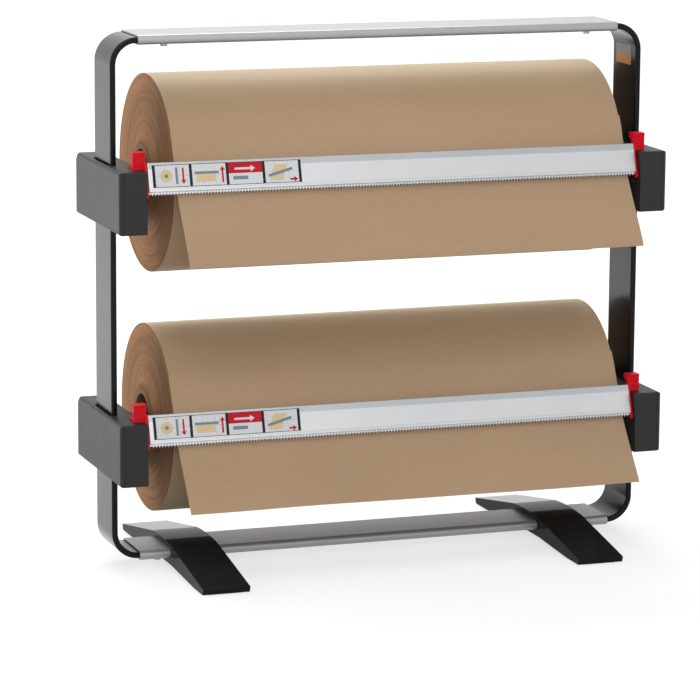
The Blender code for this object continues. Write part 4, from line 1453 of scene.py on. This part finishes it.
@dataclass
class Lever:
    """Red lever at one end of a tear bar: a ribbed tab, a round pivot end and a plate over the bar's end."""

    bar: TearBar
    hand: Hand
    inner: float = 0.2692
    outer: float = 0.2833
    tab_inset: float = 0.0006
    front: float = -0.072
    rise: float = 0.018
    head_depth: float = 0.012
    head_height: float = 0.0055
    neck_depth: float = 0.0052
    neck_slope: float = 0.0025
    heel_depth: float = 0.0165
    heel_height: float = 0.0015
    heel_slope: float = 0.005
    clear: float = 0.0005
    boss: float = 0.004
    pivot_drop: float = 0.005
    bore: Corner = (0.0018, 0.0201, 0.0001)
    spigot: Point = (-0.012, 0.0016)
    plate: float = 0.0026
    plate_setback: float = 0.0014
    plate_foot: float = 0.0042
    plate_margin: float = 0.001
    rib_count: int = 5
    rib_pitch: float = 0.0024
    rib_depth: float = 0.0007
    rib_drop: float = 0.0036
    rib_inset: float = 0.0009

    def pivot(self, along: float) -> Matrix:
        """Placement on the pivot's axis, pointing outwards."""
        return self.hand.outward(along, self.front + self.boss, self.bar.top - self.pivot_drop)

    def tab(self) -> Outline:
        """Outline of the tab and the pivot end from the side.

        Returns:
            The outline in Y and Z.
        """
        top, front = self.bar.top, self.front
        upper, heel = top + self.rise, top + self.clear
        face, neck = front + self.rib_depth, front + self.neck_depth
        low = arc((front + self.boss, top - self.pivot_drop), self.boss, 185, 360, 16)
        return low + rounded([
            (front + 2 * self.boss, heel, 0), (front + self.heel_depth, heel, 0.0006),
            (front + self.heel_depth, heel + self.heel_height, 0.0012),
            (neck, heel + self.heel_height + self.heel_slope, 0.003),
            (neck, upper - self.head_height - self.neck_slope, 0.002),
            (front + self.head_depth, upper - self.head_height, 0.0012),
            (front + self.head_depth, upper, 0.0012), (front, upper, 0.0012),
            (front, upper - 0.0018, 0.0004), (face, upper - 0.0026, 0.0003), (face, heel, 0),
        ], 5)

    def end_plate(self) -> Outline:
        """Outline of the plate that covers the bar's end.

        Returns:
            The outline in Y and Z.
        """
        bar, margin, setback = self.bar, self.plate_margin, self.plate_setback
        foot, rear = bar.height + self.plate_foot, bar.thickness + margin
        pivot = self.front + 2 * self.boss
        return rounded([
            (*bar.spot(-margin, setback), 0.0008), (*bar.spot(foot, setback), 0.0018),
            (*bar.spot(foot, rear), 0.0018), (*bar.spot(bar.cavity[1], rear), 0.004),
            (pivot, bar.top - self.pivot_drop, 0.001), (pivot, bar.top + self.clear, 0.0),
            (*bar.spot(-margin, rear), 0.0004),
        ], 5)

    def ribs(self, tree: Tree) -> Mesh:
        """Grip ribs across the front of the tab.

        Args:
            tree: Tree that repeats a shape along a row.

        Returns:
            All ribs as one mesh.
        """
        face, half = self.front + self.rib_depth, self.rib_pitch * 0.33
        root, high = face + 0.0004, self.bar.top + self.rise - self.rib_drop
        corners = [(root, high - half, 0), (root, high + half, 0), (face, high + half, 0),
                   (self.front, high, 0.0004), (face, high - half, 0)]
        span = self.hand.span(self.inner + self.tab_inset + self.rib_inset, self.outer - self.rib_inset)
        rib = prism("rib", [rounded(corners)], *span)
        return tree.grow(rib, Count=self.rib_count, Step=(0, 0, -self.rib_pitch), Material=RED.material())

    def mesh(self, tree: Tree) -> Mesh:
        """Whole lever in red plastic.

        Args:
            tree: Tree that repeats a shape along a row.

        Returns:
            The tab, plate and spigot in one solid, and the ribs on it.
        """
        span = self.hand.span(self.inner + self.tab_inset, self.outer)
        tab = prism("tab", [self.tab()], *span, Axis.X, span, 0.0006, 3)
        span = self.hand.span(self.inner, self.inner + self.plate)
        plate = prism("end_plate", [self.end_plate()], *span, Axis.X, span, 0.0005, 2)
        span = self.hand.span(self.inner + self.spigot[0], self.inner + self.spigot[1])
        stub = prism("spigot", [self.bar.hollow(GAP)], *span)
        bore = turned("bore", rod(*self.bore), 24, self.pivot(self.inner - OVERRUN))
        red = RED.material()
        return merged("lever", ((carved("lever", tab, [bore], [plate, stub]), red), (self.ribs(tree), red)))


def band(first: Point, second: Point, width: float) -> Outline:
    """Straight band between two points.

    Args:
        first: Middle of one end.
        second: Middle of the other end.
        width: Width of the band.

    Returns:
        The outline.
    """
    start, end = Vector(first), Vector(second)
    run = (end - start).normalized()
    side = Vector((-run.y, run.x)) * width / 2
    return [tuple(start - side), tuple(end - side), tuple(end + side), tuple(start + side)]


def arrow(first: Point, second: Point, width: float) -> list[Outline]:
    """Arrow between two points: a band and a head.

    Args:
        first: Where it starts.
        second: Its tip.
        width: Width of the band.

    Returns:
        The outlines of the band and the head.
    """
    tip = Vector(second)
    run = (tip - Vector(first)).normalized()
    side = Vector((-run.y, run.x)) * width * 1.5
    neck = tip - run * width * 2.2
    return [band(first, tuple(neck), width), [tuple(neck - side), tuple(tip), tuple(neck + side)]]


@dataclass
class LabelStrip:
    """Film with four small pictures on the bar's recessed panel, in plain generic shapes.

    A place in a picture is its distance from the picture's left edge, and down from the strip's middle.
    """

    bar: TearBar
    start: float = -0.2630
    panel: float = 0.0391
    count: int = 4
    low: float = 0.0262
    high: float = 0.0028
    film: float = 0.00012
    layer: float = 0.00003
    border: float = 0.0030
    margin: float = 0.0006
    hairline: float = 0.0003
    plain: int = 2

    def decal(self, points: Outline, level: int) -> Mesh:
        """Thin closed plate on the strip.

        Args:
            points: X and distance down the bar's face of each corner.
            level: Number of layers under it.

        Returns:
            The closed mesh.
        """
        depths = (-self.film - level * self.layer, self.bar.lean if level == 0 else 0.0)
        rings = [[(x, *self.bar.spot(down, depth)) for x, down in points] for depth in depths]
        return lofted("decal", rings, weld=False)

    def pictures(self) -> Iterator[tuple[int, Ink, int, Outline]]:
        """Shapes of the four pictures.

        Returns:
            Number of the picture, ink, layer and outline of each shape.
        """
        edge, half = self.border / 2, (self.low - self.high) / 2
        right, tall, short = self.panel - edge, half - self.margin, half - 0.0008
        for index in range(self.count):
            yield index, Ink.WHITE, 1, box_outline((edge, -tall), (right, tall))
            if index != self.plain:
                for x in (0.32 * self.panel, 0.68 * self.panel):
                    yield index, Ink.LINE, 2, band((x, short), (x, -short), self.hairline)
                yield index, Ink.LINE, 2, band((edge, 0), (right, 0), self.hairline)
        yield 0, Ink.TAN, 3, arc((0.013, 0), 0.0064, 0, 360, 40)[:-1]
        yield 0, Ink.SLATE, 4, arc((0.013, 0), 0.0021, 0, 360, 24)[:-1]
        yield self.plain, Ink.RED, 3, box_outline((edge, -tall), (right, -0.0002))
        yield 3, Ink.TAN, 3, [(0.006, 0.0087), (0.020, 0.0087), (0.026, -0.0077), (0.012, -0.0077)]
        for index, ink, level, *shape in (
            (0, Ink.SLATE, 3, (0.024, -0.0087), (0.024, 0.0087), 0.0024),
            (1, Ink.TAN, 3, (0.006, 0.003), (0.026, 0.003), 0.0085),
            (1, Ink.SLATE, 4, (0.004, -0.0022), (0.030, -0.0022), 0.0026),
            (2, Ink.SLATE, 3, (0.006, 0.0046), (0.022, 0.0046), 0.0036),
            (3, Ink.SLATE, 4, (0.005, 0.004), (0.031, -0.003), 0.0028),
        ):
            yield index, ink, level, band(*shape)
        for index, ink, *shape in (
            (0, Ink.RED, (0.031, -0.0082), (0.031, 0.0087), 0.0019),
            (1, Ink.RED, (0.034, 0.0087), (0.034, -0.0082), 0.0019),
            (3, Ink.RED, (0.028, 0.0082), (0.0365, 0.0082), 0.0019),
            (2, Ink.WHITE, (0.008, -0.0048), (0.030, -0.0048), 0.0022),
        ):
            for outline in arrow(*shape):
                yield index, ink, 5, outline

    def build(self) -> None:
        """Make the strip as one piece of film in its inks."""
        middle, margin = (self.low + self.high) / 2, self.border / 2
        end = self.start + self.count * self.panel + margin
        base = box_outline((self.start - margin, self.high), (end, self.low))
        parts = [(self.decal(base, 0), Ink.BLACK.value.material())]
        for index, ink, level, outline in self.pictures():
            left = self.start + index * self.panel
            points = [(left + x, middle + down) for x, down in outline]
            parts.append((self.decal(points, level), ink.value.material()))
        place_piece(f"{self.bar.tier.word}_label_strip", merged("label", parts), self.bar.body)


@dataclass
class Sticker:
    """Small two-tone sticker on the inner face of the right upright, near the top."""

    face: float = 0.2891
    backs: Point = (-0.018, 0.021)
    heights: Point = (0.5155, 0.5362)
    film: float = 0.0003
    sunk: float = 0.00001
    corner: float = 0.0008

    def build(self) -> None:
        """Make the grey upper half and the orange lower half."""
        (front, rear), (low, high) = self.backs, self.heights
        parts = []
        for ink, bottom, top in ((Ink.ORANGE, low, (low + high) / 2), (Ink.GREY, (low + high) / 2, high)):
            outline = box_outline((front, bottom), (rear, top), self.corner)
            half = prism("sticker", [outline], self.face - self.film, self.face + self.sunk)
            parts.append((half, ink.value.material()))
        place_piece("upright_sticker", merged("sticker", parts), "frame")


# Rolls and paper


@dataclass
class PaperRoll:
    """One wound roll with its core and the two plugs in it."""

    tier: Tier
    length: float = 0.500
    core_outer: float = 0.030
    core_inner: float = 0.025
    core_edge: float = 0.0004
    steps: int = 160
    rings: int = 64
    edge: float = 0.0009
    turn_depth: float = 0.0016
    turns: float = 170.0
    eye_width: float = 0.020
    eye_rise: float = 0.005
    plug_face: float = 0.217
    plug_edge: float = 0.0008
    journal_length: float = 0.0665
    journal: float = 0.006
    collar: Point = (0.011, 0.004)
    skirt: float = 0.0247
    disc: float = 0.005
    skirt_length: float = 0.020
    wall: float = 0.003

    @property
    def centre(self) -> Corner:
        """Middle of the roll."""
        place = self.tier.value
        return place.roll_offset, place.roll_back, place.axis

    def tube(self, name: str, profile: Outline, steps: int) -> Mesh:
        """Closed loop turned about the roll's axis."""
        place = Matrix.Translation(self.centre) @ Matrix.Rotation(math.pi / 2, 4, "Y")
        return turned(name, profile, steps, place, closed=True)

    def paper(self, tree: Tree) -> Mesh:
        """Wound paper with stepped ends.

        Args:
            tree: Tree that shifts the turns.

        Returns:
            The closed tube with its side and end finishes.
        """
        outer, inner, half = self.tier.value.roll_radius, self.core_outer + GAP, self.length / 2
        deep = outer - inner - self.edge * 0.3
        shares = [step / self.rings for step in range(self.rings + 1)]
        profile = [(outer, half - self.edge * 0.6), (outer, 0), (outer, -half + self.edge * 0.6)]
        profile += [(outer - self.edge * 0.3 - share * deep, -half) for share in shares]
        profile += [(inner, 0)]
        profile += [(inner + share * deep, half) for share in shares]
        ends = WoundEdge(f"{self.tier.word}_wound_edge", (0.38, 0.20, 0.10), (0.7, 0.85), specular=0.10,
                         relief=0.00012, centre=self.centre)
        return tree.grow(self.tube("paper", profile, self.steps), Axis=self.centre, Depth=self.turn_depth,
                         Turns=self.turns, Eye=inner, Reach=inner + self.eye_width, Rise=self.eye_rise,
                         Seed=float(self.tier.value.seed), Side=KRAFT.material(), Ends=ends.material())

    def core(self) -> Mesh:
        """Board tube that the paper is wound on.

        Returns:
            The closed mesh.
        """
        half, edge, outer, inner = self.length / 2, self.core_edge, self.core_outer, self.core_inner
        left = -half - self.eye_rise
        return self.tube("core", [
            (outer, half - edge), (outer, left + edge), (outer - edge, left), (inner + edge, left),
            (inner, left + edge), (inner, half - edge), (inner + edge, half), (outer - edge, half),
        ], 72)

    def plug(self, hand: Hand) -> Mesh:
        """Plug in one end of the core.

        Args:
            hand: Which end.

        Returns:
            The closed mesh.
        """
        edge, journal, skirt, tip = self.plug_edge, self.journal, self.skirt, self.journal_length
        radius, collar = self.collar
        end = -self.disc - self.skirt_length
        profile = [
            (0, tip), (journal - edge, tip), (journal, tip - edge), (journal, collar),
            (radius - edge, collar), (radius, collar - edge), (radius, 0), (skirt - edge, 0),
            (skirt, -edge), (skirt, end), (skirt - self.wall, end), (skirt - self.wall, -self.disc),
            (0, -self.disc),
        ]
        return turned("plug", profile, 48, hand.outward(self.plug_face, *self.centre[1:]))

    def build(self, tree: Tree) -> None:
        """Make the roll, its core and its plugs.

        Args:
            tree: Tree that shifts the turns.
        """
        name = self.tier.word
        body = f"{name}_roll"
        place_piece(f"{name}_wound_paper", self.paper(tree), body, [f"{name}_paper_roll"], None, 50)
        place_piece(f"{name}_core_tube", self.core(), body, [f"{name}_core"], BOARD.material())
        for hand in Hand:
            node = f"{name}_core_plug_{hand.word}"
            place_piece(f"{node}_turned", self.plug(hand), body, [node], DARK.material())


def even(points: Sequence[Vector], count: int) -> list[Vector]:
    """Points at even distances along a line.

    Args:
        points: The line.
        count: Number of steps.

    Returns:
        The new points, both ends kept.
    """
    lengths = [0.0]
    for first, second in zip(points, points[1:]):
        lengths.append(lengths[-1] + (second - first).length)
    result, index = [], 0
    for step in range(count + 1):
        want = lengths[-1] * step / count
        while index < len(points) - 2 and lengths[index + 1] < want:
            index += 1
        share = (want - lengths[index]) / (lengths[index + 1] - lengths[index] or 1.0)
        result.append(points[index].lerp(points[index + 1], min(max(share, 0.0), 1.0)))
    return result


@dataclass
class PaperSheet:
    """Length of paper that leaves a roll, passes behind the tear bar and curls forward to its free edge."""

    bar: TearBar
    width: float = 0.500
    thickness: float = 0.0007
    paper: float = 0.00032
    bar_gap: float = 0.0024
    wrap: float = math.radians(9)
    lead: float = 0.012
    front: float = -0.088
    across: int = 60
    steps: int = 64
    wave: float = 0.0011
    calm: float = 0.62

    def line(self) -> list[Vector]:
        """Middle line of the paper, from the roll to its free edge.

        Returns:
            Places in Y and Z at even steps.
        """
        bar, place = self.bar, self.bar.tier.value
        axis = Vector((place.roll_back, place.axis))
        radius = place.roll_radius + GAP + self.thickness / 2
        pull = Vector(bar.spot(bar.height, bar.thickness + self.bar_gap + self.thickness / 2))
        reach = pull - axis
        leave = math.atan2(reach.y, reach.x) - math.acos(radius / reach.length)
        turns = (math.degrees(leave - self.wrap), math.degrees(leave))
        points = [Vector(point) for point in arc(tuple(axis), radius, *turns, 12)]
        knee = pull + (pull - points[-1]).normalized() * self.lead
        edge = Vector((self.front, bar.top)) + Vector(place.sheet_edge)
        curl = edge + Vector(place.sheet_curl)
        for step in range(41):
            share = step / 40
            middle = knee.lerp(curl, share)
            start = pull.lerp(knee, share).lerp(middle, share)
            points.append(start.lerp(middle.lerp(curl.lerp(edge, share), share), share))
        return even(points, self.steps)

    def mesh(self) -> tuple[Mesh, float]:
        """Sheet as a thin closed solid, slightly wavy towards its free edge.

        Returns:
            The mesh and the length of the paper.
        """
        line, place = self.line(), self.bar.tier.value
        last = len(line) - 1
        shape = bmesh.new()
        layers = []
        for side in (-0.5, 0.5):
            rows = []
            for step, point in enumerate(line):
                run = (line[min(step + 1, last)] - line[max(step - 1, 0)]).normalized()
                out = Vector((-run.y, run.x))
                free = max(0.0, (step / last - self.calm) / (1 - self.calm)) ** 2
                rows.append([])
                for column in range(self.across + 1):
                    share = column / self.across
                    sway = math.sin(share * 7.3 + 0.6 + place.seed) + 0.5 * math.sin(share * 17.1)
                    spot = point + out * (side * self.paper + self.wave * sway * free)
                    along = place.roll_offset + (share - 0.5) * self.width
                    rows[-1].append(shape.verts.new((along, spot.x, spot.y)))
            layers.append(rows)
        near, far = layers
        strips = [pair for rows in layers for pair in zip(rows, rows[1:])]
        strips += [(near[0], far[0]), (near[-1], far[-1])]
        strips += [([row[end] for row in near], [row[end] for row in far]) for end in (0, -1)]
        for first, second in strips:
            for index in range(len(first) - 1):
                shape.faces.new((first[index], first[index + 1], second[index + 1], second[index]))
        length = sum((second - first).length for first, second in zip(line, line[1:]))
        return to_mesh("sheet", shape, weld=False), length

    def build(self) -> None:
        """Make the sheet and log its length."""
        name = self.bar.tier.word
        mesh, length = self.mesh()
        piece = place_piece(f"{name}_hanging_paper", mesh, "frame", [f"{name}_paper_sheet"],
                            KRAFT.material(), 60)
        log.info("%s_hanging_paper: %.3f m long", name, length)


# Studio


@dataclass(frozen=True)
class Lamp:
    """Soft rectangular lamp: its name, place, aim, width and height, and power in watts."""

    name: str
    place: Corner
    aim: Corner
    size: Point
    power: float

    def build(self) -> None:
        """Add the lamp to the scene."""
        data = bpy.data.lights.new(self.name, "AREA")
        data.shape = "RECTANGLE"
        data.size, data.size_y = self.size
        data.energy = self.power
        lamp = new_object(self.name, data)
        lamp.location = self.place
        lamp.visible_camera = False
        lamp.rotation_mode = "QUATERNION"
        lamp.rotation_quaternion = (Vector(self.aim) - Vector(self.place)).to_track_quat("-Z", "Y")


LAMPS = (
    Lamp("key", (-0.6, -2.3, 1.25), (0, 0, 0.3), (1.8, 1.2), 19.0),
    Lamp("fill", (2.2, -1.6, 1.0), (0, 0, 0.3), (1.4, 1.2), 5.0),
    Lamp("top", (-0.2, -1.0, 2.2), (0, 0, 0.35), (1.8, 0.9), 6.0),
    Lamp("side", (-2.1, -0.2, 0.5), (-0.2, 0, 0.3), (1.2, 1.0), 4.0),
    Lamp("rear", (-2.0, 1.4, 0.5), (-0.2, 0, 0.3), (1.2, 1.0), 20.0),
    Lamp("crown", (0.0, 1.25, 2.0), (0, 0, 0.40), (1.8, 0.8), 28.0),
)


@dataclass
class Studio:
    """Camera, lamps, world and floor for the picture."""

    eye: Corner = (-1.2888, -3.6017, 0.9468)
    right: Corner = (0.94386, -0.33038, 0.00679)
    up: Corner = (0.05571, 0.17936, 0.98224)
    back: Corner = (-0.32571, -0.92666, 0.18768)
    lens: float = 187.033
    ambient: float = 0.38
    grey: float = 0.38
    pale: float = 0.50
    reach: Point = (0.6, 2.4)
    glow: Point = (0.66, 0.94)
    half_floor: float = 9.0

    def camera(self) -> None:
        """Set the camera at the photograph's viewing angle."""
        data = bpy.data.cameras.new("camera")
        data.sensor_width = 36.0
        data.lens = self.lens
        data.clip_start, data.clip_end = 0.1, 60.0
        camera = new_object("camera", data)
        camera.matrix_world = Matrix((*zip(self.right, self.up, self.back, self.eye), (0, 0, 0, 1)))
        bpy.context.scene.camera = camera

    def mixed(self, nodes: Nodes, unseen: Socket, seen: Socket) -> Socket:
        """Shader with one look for what the camera sees, directly, in a reflection or through glass.

        Args:
            nodes: Tree to add to.
            unseen: Shader for all other light.
            seen: Shader for the camera.

        Returns:
            The mixed shader.
        """
        rays = nodes.node("ShaderNodeLightPath").outputs
        total = rays["Is Camera Ray"]
        for label in ("Is Glossy Ray", "Is Transmission Ray"):
            total = nodes.value("ShaderNodeMath", {0: total, 1: rays[label]}, operation="ADD", use_clamp=True)
        return nodes.value("ShaderNodeMixShader", {0: total, 1: unseen, 2: seen})

    def world(self) -> None:
        """White surroundings for the camera and for reflections, plain soft light for the rest."""
        world = bpy.data.worlds.new("studio")
        world.use_nodes = True
        bpy.context.scene.world = world
        nodes = Nodes(world.node_tree)
        soft = nodes.tree.nodes["Background"]
        nodes.fill(soft, {"Color": (0.97, 0.985, 1.0, 1), "Strength": self.ambient})
        white = nodes.value("ShaderNodeBackground", {"Color": (1, 1, 1, 1)})
        nodes.fill(nodes.tree.nodes["World Output"], {"Surface": self.mixed(nodes, soft.outputs[0], white)})

    def floor(self) -> None:
        """Pale floor that stays white for the camera and keeps the object's shadow."""
        far = self.half_floor
        mesh = bpy.data.meshes.new("floor")
        mesh.from_pydata([(-far, -far, 0), (far, -far, 0), (far, far, 0), (-far, far, 0)], [], [(0, 1, 2, 3)])
        material = bpy.data.materials.new("floor")
        material.use_nodes = True
        nodes = Nodes(material.node_tree)
        nodes.tree.nodes.remove(nodes.tree.nodes["Principled BSDF"])
        plain, bright = (nodes.value("ShaderNodeBsdfDiffuse", {"Color": (shade, shade, shade, 1)})
                         for shade in (self.grey, self.pale))
        where = nodes.node("ShaderNodeTexCoord").outputs["Object"]
        away = nodes.node("ShaderNodeVectorMath", {0: where}, operation="LENGTH").outputs["Value"]
        strength = nodes.value("ShaderNodeMapRange", dict(enumerate((away, *self.reach, *self.glow))))
        glow = nodes.value("ShaderNodeEmission", {"Color": (1, 1, 1, 1), "Strength": strength})
        both = nodes.value("ShaderNodeAddShader", {0: bright, 1: glow})
        nodes.fill(nodes.tree.nodes["Material Output"], {"Surface": self.mixed(nodes, plain, both)})
        mesh.materials.append(material)
        floor = new_object("floor", mesh)

    def build(self) -> None:
        """Set up the whole studio."""
        self.camera()
        self.world()
        self.floor()
        for lamp in LAMPS:
            lamp.build()
        bpy.context.scene.view_settings.view_transform = "Standard"
        log.info("studio: camera, world, floor and %d lamps", len(LAMPS))


def main() -> None:
    """Build the studio and dress every part of the dispenser."""
    logging.basicConfig(level=logging.INFO, format="%(message)s")
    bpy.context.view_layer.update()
    Studio().build()
    SideFrames().build()
    Rails().build()
    Feet().build()
    Screws().build()
    ClampBlocks().build()
    row, winding = row_tree(), winding_tree()
    for tier in Tier:
        bar = TearBar(tier)
        bar.build(row)
        PaperRoll(tier).build(winding)
        PaperSheet(bar).build()
    Sticker().build()
    bpy.context.view_layer.update()


if __name__ == "__main__":
    main()
